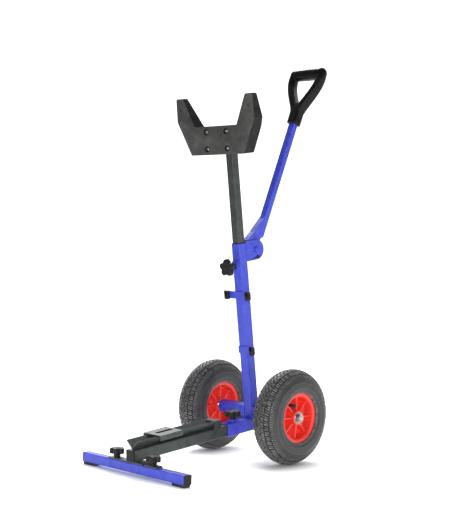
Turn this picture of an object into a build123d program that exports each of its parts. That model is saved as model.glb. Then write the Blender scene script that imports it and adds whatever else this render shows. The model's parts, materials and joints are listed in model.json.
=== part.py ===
from build123d import *
from math import cos, radians, sin
import os

os.makedirs("parts", exist_ok=True)

# Two-wheeled field cart: a leaning post on an axle, a telescoping mast with a V yoke, a folding
# D-handle, and a telescoping base with a V rail that stands on a cross beam.
# Millimetres. X is across the cart, -Y is forward (the foot beam's side), +Z is up, floor at Z 0.

# ---- driving dimensions ----
wheel_radius = 130
axle_y = 116.6            # the axle, behind the middle of the whole cart
post_lean = 8.95          # degrees, the post leans forward
base_slope = 5.64         # degrees, the base tube falls towards the front
arm_lean = 31             # degrees, the handle arm leans back from the post

tube = 30                 # post, base and axle tubes
tube_wall = 2
tube_corner = 3
mast_width = 25
socket_width = 35
post_top = 473            # measured along the post from the axle
socket_level = -35        # centre of the base tube below the axle, along the base frame's normal
socket_back = -25
socket_front = 114

track = 290
hub_half = 30
axle_radius = 6
washer_thick = 1.5
nut_thick = 6
end_plate = 4
running_gap = 0.3

yoke_bottom = 722
yoke_height = 157
yoke_thick = 40
notch_floor = 799
screw_x = 37
screw_low = 738
screw_high = 784

pivot_v = 56.2
pivot_w = 449
cheek_radius = 28
arm_offset = 6.5          # arm axis passes this far behind the pivot
arm_width = 20
arm_start = 42
collar_start = 393
grip_centre = 556
grip_radius = 17

tube_front = 451
rail_front = 446
rail_back = 165
rail_leg = 30
rail_wall = 3

beam = 25
beam_half = 193
beam_y = axle_y - 431.5
pad_height = 6.6
plate_thick = 4
foot_knob_x = 70

base_knob_b = 77
post_knob_w = 413
clip_x = 39
upper_clip_w = 331
lower_clip_w = 177


# ---- frames: local x across, y back, z along the post, base normal or arm ----
def leaning(origin, lean):
    tilt = radians(lean)
    return Plane(origin=origin, x_dir=(1, 0, 0), z_dir=(0, -sin(tilt), cos(tilt)))


axle_centre = (0, axle_y, wheel_radius)
post_frame = leaning(axle_centre, post_lean)
base_frame = leaning(axle_centre, base_slope)


def at(frame, x=0, y=0, z=0):
    return Plane(origin=frame.from_local_coords((x, y, z)), x_dir=frame.x_dir, z_dir=frame.z_dir)


def side_of(frame, x=0):
    """Sketch plane facing +X: sketch axes are the frame's y and z."""
    return Plane(origin=frame.from_local_coords((x, 0, 0)), x_dir=frame.y_dir, z_dir=frame.x_dir)


def front_of(frame, y=0):
    """Sketch plane facing forward: sketch axes are X and the frame's z."""
    return Plane(origin=frame.from_local_coords((0, y, 0)), x_dir=frame.x_dir, z_dir=-frame.y_dir)


def frontmost(builder, frame):
    return builder.faces().sort_by(Axis(frame.origin, frame.y_dir))[0]


pivot_frame = at(post_frame, y=pivot_v, z=pivot_w)
arm_frame = at(leaning(pivot_frame.origin, post_lean - arm_lean), y=arm_offset)


def finish(builder, name):
    builder.part.label = name
    export_step(builder.part, f"parts/{name}.step")


# ---- square tubes ----
def square_ring(width, wall, corner):
    RectangleRounded(width, width, corner)
    RectangleRounded(width - 2 * wall, width - 2 * wall, corner - wall + 0.01, mode=Mode.SUBTRACT)


# the post stands on the socket, and the axle and the two clamp studs cross its walls
post_foot = socket_level + socket_width / 2
boss_hole = 4.6
with BuildPart() as post_tube:
    with BuildSketch(post_frame.offset(-40)):
        square_ring(tube, tube_wall, tube_corner)
    extrude(amount=post_top + 40)
    split(bisect_by=base_frame.offset(post_foot), keep=Keep.TOP)
    with BuildSketch(side_of(post_frame, -tube)):
        Circle(axle_radius + 0.05)
    extrude(amount=2 * tube, mode=Mode.SUBTRACT)
    with BuildSketch(front_of(post_frame, 0)):
        with Locations((0, post_knob_w)):
            Circle(boss_hole)
    extrude(amount=tube, mode=Mode.SUBTRACT)
finish(post_tube, "post_tube")

axle_tube_end = track / 2 - hub_half - running_gap - washer_thick - end_plate
for side, name in ((-1, "axle_tube_left"), (1, "axle_tube_right")):
    with BuildPart() as axle_tube:
        with BuildSketch(side_of(post_frame, side * axle_tube_end)):
            square_ring(tube, tube_wall, tube_corner)
        extrude(amount=-side * (axle_tube_end - tube / 2))
    finish(axle_tube, name)

with BuildPart() as axle_end_plates:
    for side in (-1, 1):
        with BuildSketch(side_of(post_frame, side * axle_tube_end)):
            RectangleRounded(tube, tube, tube_corner)
            Circle(axle_radius + 0.05, mode=Mode.SUBTRACT)
        extrude(amount=side * end_plate)
finish(axle_end_plates, "axle_end_plates")

axle_half = track / 2 + hub_half + 9
with BuildPart() as axle:
    with BuildSketch(side_of(post_frame, -axle_half)):
        Circle(axle_radius)
    extrude(amount=2 * axle_half)
    chamfer(axle.edges().filter_by(GeomType.CIRCLE), 1)
finish(axle, "axle")

with BuildPart() as axle_washers:
    for side in (-1, 1):
        for start in (axle_tube_end + end_plate, track / 2 + hub_half + running_gap):
            with BuildSketch(side_of(post_frame, side * start)):
                Circle(12)
                Circle(axle_radius + 0.05, mode=Mode.SUBTRACT)
            extrude(amount=side * washer_thick)
finish(axle_washers, "axle_washers")

with BuildPart() as axle_nuts:
    for side in (-1, 1):
        start = track / 2 + hub_half + running_gap + washer_thick
        with BuildSketch(side_of(post_frame, side * start)):
            RegularPolygon(10.9, 6)
            Circle(axle_radius + 0.05, mode=Mode.SUBTRACT)
        extrude(amount=side * nut_thick)
finish(axle_nuts, "axle_nuts")

with BuildPart() as socket_tube:
    with BuildSketch(front_of(base_frame, -socket_back)):
        with Locations((0, socket_level)):
            RectangleRounded(socket_width, socket_width, tube_corner)
            RectangleRounded(socket_width - 4, socket_width - 4, 1.5, mode=Mode.SUBTRACT)
    extrude(amount=socket_front - socket_back)
    with BuildSketch(at(base_frame, y=-base_knob_b, z=socket_level)):
        Circle(boss_hole)
    extrude(amount=tube, mode=Mode.SUBTRACT)
finish(socket_tube, "socket_tube")


# ---- hinge on the back of the post ----
cheek_thick = 4
with BuildPart() as hinge_cheeks:
    for side in (-1, 1):
        with BuildSketch(side_of(post_frame, side * (tube / 2 - cheek_thick))):
            with Locations((pivot_v, pivot_w)):
                Circle(cheek_radius)
            with Locations(((tube / 2 + pivot_v) / 2, pivot_w)):
                Rectangle(pivot_v - tube / 2, 2 * cheek_radius)
            with Locations((pivot_v, pivot_w)):
                Circle(5.05, mode=Mode.SUBTRACT)
            with Locations((pivot_v + 1.5, pivot_w - 21)):
                Circle(3.05, mode=Mode.SUBTRACT)
        extrude(amount=side * cheek_thick)
finish(hinge_cheeks, "hinge_cheeks")

with BuildPart() as pivot_bolt:
    with BuildSketch(side_of(pivot_frame, -tube / 2 - 13)):
        Circle(5)
    extrude(amount=tube + 13)
    with BuildSketch(side_of(pivot_frame, tube / 2)):
        Circle(10)
    extrude(amount=5)
    fillet(pivot_bolt.edges().filter_by(GeomType.CIRCLE).sort_by(Axis.X)[-1], 3.5)
finish(pivot_bolt, "pivot_bolt")

with BuildPart() as pivot_nut:
    with BuildSketch(side_of(pivot_frame, -tube / 2)):
        RegularPolygon(9.8, 6)
        Circle(5.05, mode=Mode.SUBTRACT)
    extrude(amount=-9)
finish(pivot_nut, "pivot_nut")

with BuildPart() as pivot_washers:
    for side in (-1, 1):
        with BuildSketch(side_of(pivot_frame, side * 9.8)):
            Circle(9)
            Circle(5.05, mode=Mode.SUBTRACT)
        extrude(amount=side * 1.2)
finish(pivot_washers, "pivot_washers")

# a spring plunger in each cheek clicks into the arm's foot
with BuildPart() as detent_plungers:
    for side in (-1, 1):
        with BuildSketch(side_of(at(pivot_frame, y=1.5, z=-21), side * 9.9)):
            Circle(3)
        extrude(amount=side * 6)
        with BuildSketch(side_of(at(pivot_frame, y=1.5, z=-21), side * tube / 2)):
            Circle(4.5)
        extrude(amount=side * 3)
finish(detent_plungers, "detent_plungers")

# black collar that guides the mast at the post's mouth, with a bumper at the back for the arm
with BuildPart() as mast_guide:
    with BuildSketch(post_frame.offset(post_top)):
        RectangleRounded(tube - 1, tube - 1, tube_corner)
        RectangleRounded(mast_width + 0.8, mast_width + 0.8, 3, mode=Mode.SUBTRACT)
    extrude(amount=2)
    with BuildSketch(post_frame.offset(post_top)):
        with Locations((0, 20)):
            Rectangle(14, 11.5)
    extrude(amount=7)
finish(mast_guide, "mast_guide")


# ---- clamp bosses and knobs ----
def clamp_boss(frame, name, long_side):
    with BuildPart() as boss:
        with BuildSketch(frame):
            RectangleRounded(20, long_side, 4)
            Circle(4.05, mode=Mode.SUBTRACT)
        extrude(amount=7)
    finish(boss, name)


def star_knob(frame, name, radius, stem, stud_depth):
    """Five-lobed knob: stud below the frame's origin, stem and lobes above it."""
    with BuildPart() as knob:
        with BuildSketch(frame):
            Circle(9)
        extrude(amount=stem)
        with BuildSketch(frame.offset(stem)) as star:
            Circle(0.66 * radius)
            with PolarLocations(0.68 * radius, 5, 90):
                Circle(0.32 * radius)
            fillet(star.vertices(), 0.15 * radius)
        extrude(amount=15)
        fillet(knob.faces().sort_by_distance(frame.offset(60).origin)[0].edges(), 2.5)
        with BuildSketch(frame):
            Circle(4.02)
        extrude(amount=stem + 8, mode=Mode.SUBTRACT)
    finish(knob, name)
    with BuildPart() as stud:
        with BuildSketch(frame.offset(stem + 7.9)):
            Circle(4)
        extrude(amount=-(stem + 7.9 + stud_depth))
        chamfer(stud.edges().filter_by(GeomType.CIRCLE), 0.8)
    finish(stud, name + "_stud")


post_boss_frame = Plane(
    origin=post_frame.from_local_coords((0, -tube / 2, post_knob_w)),
    x_dir=(1, 0, 0),
    z_dir=-post_frame.y_dir,
)
clamp_boss(post_boss_frame, "post_boss", 28)
stud_reach = 7 + 2.5 - running_gap
star_knob(post_boss_frame.offset(7 + 4), "post_knob", 24.5, 19, stud_reach + 4)

base_boss_frame = at(base_frame, y=-base_knob_b, z=post_foot)
clamp_boss(base_boss_frame, "socket_boss", 26)
star_knob(base_boss_frame.offset(7 + 2), "base_knob", 23, 6, 7 + 2 + 2.5 - running_gap)


# ---- tool clips on the front of the post ----
strip_height = 20
for name, w, left_end, right_end in (
    ("upper_clip_strip", upper_clip_w, -clip_x - 6, clip_x + 6),
    ("lower_clip_strip", lower_clip_w, -tube / 2, clip_x + 6),
):
    with BuildPart() as strip:
        with BuildSketch(front_of(post_frame, -tube / 2)):
            with Locations(((left_end + right_end) / 2, w)):
                RectangleRounded(right_end - left_end, strip_height, 2)
        extrude(amount=3)
    finish(strip, name)

clip_width = 15
clip_height = 24
clip_deep = 8
slot_width = 7.5
slot_floor = -1.5
for name, x, w in (
    ("tool_clip_upper_left", -clip_x, upper_clip_w),
    ("tool_clip_upper_right", clip_x, upper_clip_w),
    ("tool_clip_lower", clip_x, lower_clip_w),
):
    with BuildPart() as clip:
        with BuildSketch(front_of(post_frame, -tube / 2 - 3)):
            with Locations((x, w)):
                RectangleRounded(clip_width, clip_height, 3)
            with Locations((x, w + slot_floor + clip_height / 2)):
                Rectangle(slot_width, clip_height, mode=Mode.SUBTRACT)
        extrude(amount=clip_deep)
    finish(clip, name)


# ---- mast, yoke and their screws ----
mast_foot = 330
mast_top = 793
with BuildPart() as mast_tube:
    with BuildSketch(post_frame.offset(mast_foot)):
        square_ring(mast_width, tube_wall, tube_corner)
    extrude(amount=mast_top - mast_foot)
finish(mast_tube, "mast_tube")

with BuildPart() as mast_caps:
    for start, inward in ((mast_foot, 1), (mast_top, -1)):
        with BuildSketch(post_frame.offset(start)):
            RectangleRounded(mast_width, mast_width, tube_corner)
        extrude(amount=-inward * 3)
        with BuildSketch(post_frame.offset(start)):
            RectangleRounded(mast_width - 2 * tube_wall - 0.1, mast_width - 2 * tube_wall - 0.1, 1)
        extrude(amount=inward * 12)
finish(mast_caps, "mast_caps")

plate_back = -mast_width / 2
plate_front = plate_back - plate_thick
yoke_front = plate_front - yoke_thick
screw_points = [(x, w) for x in (-screw_x, screw_x) for w in (screw_low, screw_high)]
with BuildPart() as yoke_plate:
    with BuildSketch(front_of(post_frame, plate_back)):
        with Locations((0, (yoke_bottom + notch_floor) / 2)):
            RectangleRounded(2 * screw_x + 30, notch_floor - yoke_bottom - 6, 6)
        with Locations(*screw_points):
            Circle(4.3, mode=Mode.SUBTRACT)
    extrude(amount=plate_thick)
finish(yoke_plate, "yoke_plate")

yoke_top = yoke_bottom + yoke_height
yoke_half = 145
tip_thick = 19
slant_start = notch_floor - 9
counterbore_depth = 6
yoke_side = [
    (99, yoke_bottom),
    (yoke_half, yoke_top - 64),
    (yoke_half - 2, yoke_top),
    (116.5, yoke_top),
    (78, notch_floor),
]
other_side = [(-x, w) for x, w in reversed(yoke_side)]
with BuildPart() as yoke:
    with BuildSketch(front_of(post_frame, plate_front)) as yoke_outline:
        Polygon(*yoke_side, *other_side, align=None)
        fillet(yoke_outline.vertices(), 6)
    extrude(amount=yoke_thick)
    with BuildSketch(side_of(post_frame, -yoke_half - 5)):
        Polygon(
            (plate_front, slant_start),
            (yoke_front + tip_thick, yoke_top),
            (yoke_front + tip_thick, yoke_top + 5),
            (plate_front + 5, yoke_top + 5),
            (plate_front + 5, slant_start),
            align=None,
        )
    extrude(amount=2 * yoke_half + 10, mode=Mode.SUBTRACT)
    fillet(frontmost(yoke, post_frame).edges(), 2)
    with BuildSketch(front_of(post_frame, plate_front)):
        with Locations(*screw_points):
            Circle(4.3)
    extrude(amount=yoke_thick, mode=Mode.SUBTRACT)
    with BuildSketch(front_of(post_frame, yoke_front + counterbore_depth)):
        with Locations(*screw_points):
            Circle(7.5)
    extrude(amount=counterbore_depth, mode=Mode.SUBTRACT)
finish(yoke, "yoke")

with BuildPart() as yoke_screws:
    with BuildSketch(front_of(post_frame, plate_back + 9)):
        with Locations(*screw_points):
            Circle(4)
    extrude(amount=plate_back + 9 - yoke_front - counterbore_depth)
    with BuildSketch(front_of(post_frame, yoke_front + counterbore_depth)):
        with Locations(*screw_points):
            Circle(5.5)
    extrude(amount=4.5)
finish(yoke_screws, "yoke_screws")

with BuildPart() as yoke_nuts:
    with BuildSketch(front_of(post_frame, plate_back)):
        with Locations(*screw_points):
            RegularPolygon(7.5, 6)
            Circle(4.05, mode=Mode.SUBTRACT)
    extrude(amount=-6.5)
finish(yoke_nuts, "yoke_nuts")


# ---- handle arm ----
arm_end = 445
foot_width = 19
with BuildPart() as arm_tube:
    with BuildSketch(arm_frame.offset(arm_start)):
        square_ring(arm_width, tube_wall, tube_corner)
    extrude(amount=arm_end - arm_start)
finish(arm_tube, "arm_tube")

with BuildPart() as arm_gusset:
    with BuildSketch(side_of(arm_frame, -arm_width / 2)):
        Polygon(
            (-arm_width / 2, arm_start),
            (-arm_width / 2, arm_start + 55),
            (-arm_width / 2 - 22, arm_start),
            align=None,
        )
    extrude(amount=arm_width)
finish(arm_gusset, "arm_gusset")

with BuildPart() as arm_foot:
    with BuildSketch(side_of(arm_frame, -foot_width / 2)):
        with Locations((-arm_offset, 0)):
            Circle(24)
        Polygon(
            (-arm_width / 2 - 37, 10),
            (-arm_width / 2 - 22, arm_start),
            (2, arm_start),
            (-2, 14),
            (-arm_offset, -10),
            align=None,
        )
        with Locations((-arm_offset, 0)):
            Circle(7.05, mode=Mode.SUBTRACT)
    extrude(amount=foot_width)
finish(arm_foot, "arm_foot")

with BuildPart() as pivot_bush:
    with BuildSketch(side_of(pivot_frame, -foot_width / 2)):
        Circle(7)
        Circle(5.05, mode=Mode.SUBTRACT)
    extrude(amount=foot_width)
finish(pivot_bush, "pivot_bush")


# ---- D-handle ----
grip_half = 63
handle_deep = 32
collar_half = 15.5
handle_side = [
    (collar_half, collar_start),
    (collar_half + 1.5, collar_start + 38),
    (collar_half + 12.5, collar_start + 62),
    (collar_half + 35.5, collar_start + 104),
    (grip_half - 1, grip_centre - 10),
]
with BuildPart() as d_handle:
    with BuildSketch(front_of(arm_frame, handle_deep / 2)) as handle_outline:
        Polygon(*handle_side, *[(-x, s) for x, s in reversed(handle_side)], align=None)
        fillet(handle_outline.vertices().sort_by(Axis.Y)[2:], 14)
        with BuildSketch(mode=Mode.PRIVATE) as finger_gap:
            Polygon((0, grip_centre - 87), (30, grip_centre - 15), (-30, grip_centre - 15), align=None)
            fillet(finger_gap.vertices(), 7)
        add(finger_gap.sketch_local, mode=Mode.SUBTRACT)
    extrude(amount=handle_deep)
    with BuildSketch(side_of(arm_frame, -grip_half)):
        with Locations((0, grip_centre)):
            Circle(grip_radius)
    extrude(amount=2 * grip_half)
    with BuildSketch(arm_frame.offset(collar_start)):
        Rectangle(arm_width + 0.1, arm_width + 0.1)
    extrude(amount=arm_end - collar_start + 1, mode=Mode.SUBTRACT)
    with BuildSketch(front_of(arm_frame, handle_deep / 2 + 1)):
        with Locations((0, collar_start + 26)):
            Circle(2.55)
    extrude(amount=handle_deep + 2, mode=Mode.SUBTRACT)
finish(d_handle, "d_handle")

with BuildPart() as handle_screws:
    for side in (-1, 1):
        with BuildSketch(front_of(arm_frame, side * arm_width / 2)):
            with Locations((0, collar_start + 26)):
                Circle(2.5)
        extrude(amount=-side * (handle_deep / 2 - arm_width / 2))
        with BuildSketch(front_of(arm_frame, side * handle_deep / 2)):
            with Locations((0, collar_start + 26)):
                Circle(4.5)
        extrude(amount=-side * 2.5)
finish(handle_screws, "handle_screws")


# ---- telescoping base ----
tube_back = -40
with BuildPart() as base_tube:
    with BuildSketch(front_of(base_frame, -tube_back)):
        with Locations((0, socket_level)):
            square_ring(tube, tube_wall, tube_corner)
    extrude(amount=tube_front - tube_back)
finish(base_tube, "base_tube")

with BuildPart() as base_end_cap:
    with BuildSketch(front_of(base_frame, -tube_front)):
        with Locations((0, socket_level)):
            RectangleRounded(tube, tube, tube_corner)
    extrude(amount=4)
    fillet(frontmost(base_end_cap, base_frame).edges(), 1.5)
    with BuildSketch(front_of(base_frame, -tube_front)):
        with Locations((0, socket_level)):
            RectangleRounded(tube - 2 * tube_wall - 0.1, tube - 2 * tube_wall - 0.1, 1)
    extrude(amount=-12)
finish(base_end_cap, "base_end_cap")

# angle iron lying on its corner along the top of the base tube
tube_top = socket_level + tube / 2
wing = rail_leg / 2**0.5
inner_rise = rail_wall * 2**0.5
with BuildPart() as v_rail:
    with BuildSketch(front_of(base_frame, -rail_back)):
        Polygon(
            (0, tube_top),
            (wing, tube_top + wing),
            (wing - inner_rise / 2, tube_top + wing + inner_rise / 2),
            (0, tube_top + inner_rise),
            (-wing + inner_rise / 2, tube_top + wing + inner_rise / 2),
            (-wing, tube_top + wing),
            align=None,
        )
    extrude(amount=rail_front - rail_back)
finish(v_rail, "v_rail")

bridge_back = 298
bridge_front = 378
bridge_half = 33
bridge_wall = 3
bridge_under = tube_top + wing + inner_rise / 2
with BuildPart() as bridge_plate:
    with BuildSketch(front_of(base_frame, -bridge_back)):
        with Locations((0, bridge_under + bridge_wall / 2)):
            Rectangle(2 * bridge_half, bridge_wall)
        for side in (-1, 1):
            with Locations((side * (bridge_half - bridge_wall / 2), bridge_under - 4)):
                Rectangle(bridge_wall, 14)
    extrude(amount=bridge_front - bridge_back)
    with BuildSketch(base_frame.offset(bridge_under - 1)):
        with Locations((0, -(bridge_back + bridge_front) / 2 + 4)):
            Rectangle(13, 54)
    extrude(amount=bridge_wall + 2, mode=Mode.SUBTRACT)
finish(bridge_plate, "bridge_plate")

with BuildPart() as rail_stop:
    with BuildSketch(front_of(base_frame, -rail_back + 24)):
        with Locations((0, tube_top + 11)):
            Rectangle(36, 22)
    extrude(amount=24)
    fillet(rail_stop.edges().filter_by(Axis.X), 3)
finish(rail_stop, "rail_stop")

beam_top = pad_height + beam
plate_tab = 16
beam_frame = Plane(origin=(0, beam_y, beam_top), x_dir=(1, 0, 0), z_dir=(0, 0, 1))
with BuildPart() as foot_plate:
    with BuildSketch(beam_frame):
        RectangleRounded(184, beam, 3)
        with Locations((0, plate_tab / 2)):
            RectangleRounded(104, beam + plate_tab, 3)
        with Locations((-foot_knob_x, 0), (foot_knob_x, 0)):
            Circle(4.6, mode=Mode.SUBTRACT)
        with Locations((44, -beam / 2)):
            Rectangle(9, 20, mode=Mode.SUBTRACT)
    extrude(amount=plate_thick)
finish(foot_plate, "foot_plate")

with BuildPart() as foot_beam:
    with BuildSketch(side_of(beam_frame, -beam_half)):
        with Locations((0, -beam / 2)):
            square_ring(beam, tube_wall, tube_corner)
    extrude(amount=2 * beam_half)
    with BuildSketch(beam_frame):
        with Locations((-foot_knob_x, 0), (foot_knob_x, 0)):
            Circle(4.05)
    extrude(amount=-beam / 2, mode=Mode.SUBTRACT)
finish(foot_beam, "foot_beam")

cap_plug = beam - 2 * tube_wall - 0.1
for side, name in ((-1, "beam_cap_left"), (1, "beam_cap_right")):
    with BuildPart() as beam_cap:
        with BuildSketch(side_of(beam_frame, side * beam_half)):
            with Locations((0, -beam / 2)):
                RectangleRounded(beam, beam, tube_corner)
        extrude(amount=side * 2)
        with BuildSketch(side_of(beam_frame, side * beam_half)):
            with Locations((0, -beam / 2)):
                RectangleRounded(cap_plug, cap_plug, 1)
        extrude(amount=-side * 12)
    finish(beam_cap, name)

for side, name in ((-1, "foot_pad_left"), (1, "foot_pad_right")):
    with BuildPart() as foot_pad:
        with BuildSketch(Plane(origin=(side * (beam_half - 22), beam_y, 0))):
            RectangleRounded(46, beam - 1, 5)
        extrude(amount=pad_height)
        chamfer(foot_pad.faces().sort_by(Axis.Z)[0].edges(), 1.5)
    finish(foot_pad, name)

for side, name in ((-1, "foot_knob_left"), (1, "foot_knob_right")):
    knob_frame = at(beam_frame, x=side * foot_knob_x, z=plate_thick + running_gap)
    star_knob(knob_frame, name, 20, 9, plate_thick + 12)


# ---- wheels ----
casing = 42.5
cavity = 29
bead_half = 26.3
bead_thick = 6.3
barrel_outer = 60
flange_radius = 69
hub_radius = 21
bearing_radius = 16
bearing_width = 10
spoke_count = 8
valve_lean = 30
crown = wheel_radius - casing


def wheel(side, name):
    centre = (side * track / 2, axle_y, wheel_radius)
    # sketch axes: outward along the axle, then straight up from it
    section = Plane(origin=centre, x_dir=(side, 0, 0), z_dir=(0, -side, 0))
    hub = Plane(origin=centre, x_dir=(0, 1, 0), z_dir=(1, 0, 0))
    spin = Axis(centre, (1, 0, 0))
    bead_low = barrel_outer + running_gap
    bead_high = flange_radius + running_gap
    shoulder = (casing**2 - (crown - bead_high) ** 2) ** 0.5
    inside = bead_half - bead_thick
    cavity_low = crown - 15.5
    cavity_high = wheel_radius - 8

    with BuildPart() as tyre:
        with BuildSketch(section):
            with BuildLine():
                Polyline(
                    (shoulder, bead_high),
                    (bead_half, bead_high),
                    (bead_half, bead_low),
                    (inside, bead_low),
                    (inside, cavity_low),
                )
                ThreePointArc((inside, cavity_low), (0, cavity_high), (-inside, cavity_low))
                Polyline(
                    (-inside, cavity_low),
                    (-inside, bead_low),
                    (-bead_half, bead_low),
                    (-bead_half, bead_high),
                    (-shoulder, bead_high),
                )
                ThreePointArc((-shoulder, bead_high), (0, wheel_radius), (shoulder, bead_high))
            make_face()
        revolve(axis=spin)
    finish(tyre, "tyre_" + name)

    flange_out = bead_half + 4.3
    flange_in = bead_half + running_gap
    valve_frame = leaning(centre, valve_lean)
    valve_x = side * 10
    with BuildPart() as rim:
        with BuildSketch(section):
            Polygon(
                (-flange_out, barrel_outer - 4),
                (flange_out, barrel_outer - 4),
                (flange_out, flange_radius),
                (flange_in, flange_radius),
                (flange_in, barrel_outer),
                (-flange_in, barrel_outer),
                (-flange_in, flange_radius),
                (-flange_out, flange_radius),
                align=None,
            )
            with Locations((0, (hub_radius + bearing_radius) / 2)):
                Rectangle(2 * hub_half, hub_radius - bearing_radius)
            with Locations((-2, (barrel_outer + hub_radius) / 2 - 1)):
                Rectangle(5, barrel_outer - hub_radius)
        revolve(axis=spin)
        with BuildSketch(hub):
            with PolarLocations((barrel_outer + hub_radius) / 2 - 2, spoke_count):
                Rectangle(barrel_outer - hub_radius, 4)
        extrude(amount=20, both=True)
        with BuildSketch(valve_frame.offset(40)):
            with Locations((valve_x, 0)):
                Circle(4.5)
        extrude(amount=barrel_outer - 38, mode=Mode.SUBTRACT)
    finish(rim, "rim_" + name)

    # the rubber tube and its bent valve stem are one piece
    tube_radius = cavity - 1
    tube_centre = cavity_high - cavity
    with BuildPart() as inner_tube:
        with BuildSketch(section):
            with Locations((0, tube_centre)):
                Circle(tube_radius)
                Circle(tube_radius - 2, mode=Mode.SUBTRACT)
        revolve(axis=spin)
        with BuildSketch(valve_frame.offset(40)):
            with Locations((valve_x, 0)):
                Circle(4)
        extrude(amount=tube_centre - tube_radius + 2.5 - 40)
        with BuildSketch(side_of(valve_frame, valve_x)):
            with Locations((0, 40)):
                Circle(4)
        extrude(amount=side * 24)
    finish(inner_tube, "inner_tube_" + name)

    with BuildPart() as bearings:
        for end in (-1, 1):
            with BuildSketch(hub.offset(end * (hub_half - bearing_width))):
                Circle(bearing_radius)
                Circle(axle_radius + 0.05, mode=Mode.SUBTRACT)
            extrude(amount=end * bearing_width)
    finish(bearings, "bearings_" + name)


wheel(-1, "left")
wheel(1, "right")
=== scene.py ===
import json
from math import atan2, cos, degrees, pi, radians, sin

import bmesh
import bpy
import numpy as np
from mathutils import Matrix, Vector


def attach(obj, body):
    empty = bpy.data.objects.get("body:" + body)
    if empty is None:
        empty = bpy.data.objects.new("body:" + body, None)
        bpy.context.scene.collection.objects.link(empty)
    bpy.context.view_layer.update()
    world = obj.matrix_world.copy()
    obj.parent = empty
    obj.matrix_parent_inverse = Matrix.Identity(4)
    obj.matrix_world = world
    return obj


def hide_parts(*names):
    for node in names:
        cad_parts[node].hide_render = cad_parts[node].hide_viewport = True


# A two-wheeled field cart: everything is in metres once it is placed, and pieces are drawn in millimetres.
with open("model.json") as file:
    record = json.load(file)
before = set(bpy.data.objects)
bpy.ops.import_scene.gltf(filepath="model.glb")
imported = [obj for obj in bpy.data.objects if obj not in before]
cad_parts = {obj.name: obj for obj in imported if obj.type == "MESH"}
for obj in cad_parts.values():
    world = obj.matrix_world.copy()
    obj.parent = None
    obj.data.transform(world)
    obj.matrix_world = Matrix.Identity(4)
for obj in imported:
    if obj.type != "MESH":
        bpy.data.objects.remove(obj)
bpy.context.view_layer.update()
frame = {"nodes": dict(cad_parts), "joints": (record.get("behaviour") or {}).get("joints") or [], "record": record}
joints = {joint["name"]: joint for joint in frame["joints"]}
mm = Matrix.Scale(0.001, 4)
print("frame loaded:", len(frame["nodes"]), "nodes")


# ---- places: local x across, y back, z along the post, base normal or arm ----
def tiltOf(direction):
    return degrees(atan2(-direction[1], direction[2]))  # how far an upward line leans forward


def leaning(origin, lean):
    return Matrix.Translation(Vector(origin)) @ Matrix.Rotation(radians(lean), 4, "X")


def shifted(space, x=0, y=0, z=0):
    return space @ Matrix.Translation(Vector((x, y, z)) / 1000)


axleCentre = Vector(joints["wheel_right_spin"]["pos_m"]) * Vector((0, 1, 1))
pivotPoint = Vector(joints["handle_fold"]["pos_m"])
baseSlideAxis = joints["base_slide"]["axis"]
cart = {
    "postLean": tiltOf(joints["mast_slide"]["axis"]),
    "baseSlope": degrees(atan2(-baseSlideAxis[2], -baseSlideAxis[1])),
    "armLean": 31,  # the arm leans back from the post by this
    "armBack": 6.5,
    "tube": 30,
}
postSpace = leaning(axleCentre, cart["postLean"])
baseSpace = leaning(axleCentre, cart["baseSlope"])
armSpace = shifted(leaning(pivotPoint, cart["postLean"] - cart["armLean"]), y=cart["armBack"])
pivotSpace = leaning(pivotPoint, cart["postLean"])


# ---- camera ----
camera = {"azimuth": 44.22, "elevation": 1.21, "roll": 1.77, "lens": 78.41,
    "eye": (2.1959, -2.26495, 0.60406)}


def placeCamera():
    azimuth = radians(camera["azimuth"])
    elevation = radians(camera["elevation"])
    roll = radians(camera["roll"])
    back = Vector((sin(azimuth) * cos(elevation), -cos(azimuth) * cos(elevation), sin(elevation)))
    right = Vector((cos(azimuth), sin(azimuth), 0))
    up = back.cross(right)
    rolledRight = right * cos(roll) + up * sin(roll)
    rolledUp = up * cos(roll) - right * sin(roll)
    data = bpy.data.cameras.new("studioCamera")
    data.lens = camera["lens"]
    data.sensor_width = 36
    data.clip_end = 60
    eye = bpy.data.objects.new("studioCamera", data)
    turn = Matrix((rolledRight, rolledUp, back)).transposed().to_4x4()
    eye.matrix_world = Matrix.Translation(Vector(camera["eye"])) @ turn
    bpy.context.scene.collection.objects.link(eye)
    bpy.context.scene.camera = eye


# ---- studio: pale floor, bright room behind, dimmer room in front and above on the right ----
studio = {
    "floorColor": (0.93, 0.93, 0.93, 1),
    "farColor": (0.45, 0.45, 0.45, 1),  # the front left of the floor fades to this
    "farGlow": (0.1, 0.1, 0.1, 1),
    "fadeToward": (-0.545, -0.839, 0),
    "fadeRange": (0.85, 1.7),  # metres from the middle
    "floorHalf": 14,
    "floorGlow": 0.62,
    "contactReach": 0.06,  # how far from things the floor's glow is dimmed: the reach of the painted contact shadow
    "contactPower": 2.4,
    "roomBack": 1.5,
    "roomFront": 0.20,
    "roomBlend": (-0.3, 0.15),  # from the dim front to the bright back
    "roomShade": 0.86,  # how much darker the right gets above the horizon
    "shadeRight": (0.0, 0.5),
    "shadeUp": (0.03, 0.11),
}
softboxes = {  # place, power, size, target, spread in degrees
    "keySoftbox": ((2.5, -2.3, 0.9), 5.5, 0.8, (0, 0, 0.12), 50),
    "frontSoftbox": ((1.5, -3.0, 2.5), 4, 1.0, (0, 0, 0.5), 180),
    "topSoftbox": ((-2.1, 1.4, 2.8), 60, 1.0, (0, 0, 0.6), 180),
    "leftSoftbox": ((-3.2, 1.0, 0.7), 55, 1.3, (0, 0, 0.2), 180),
}


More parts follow.
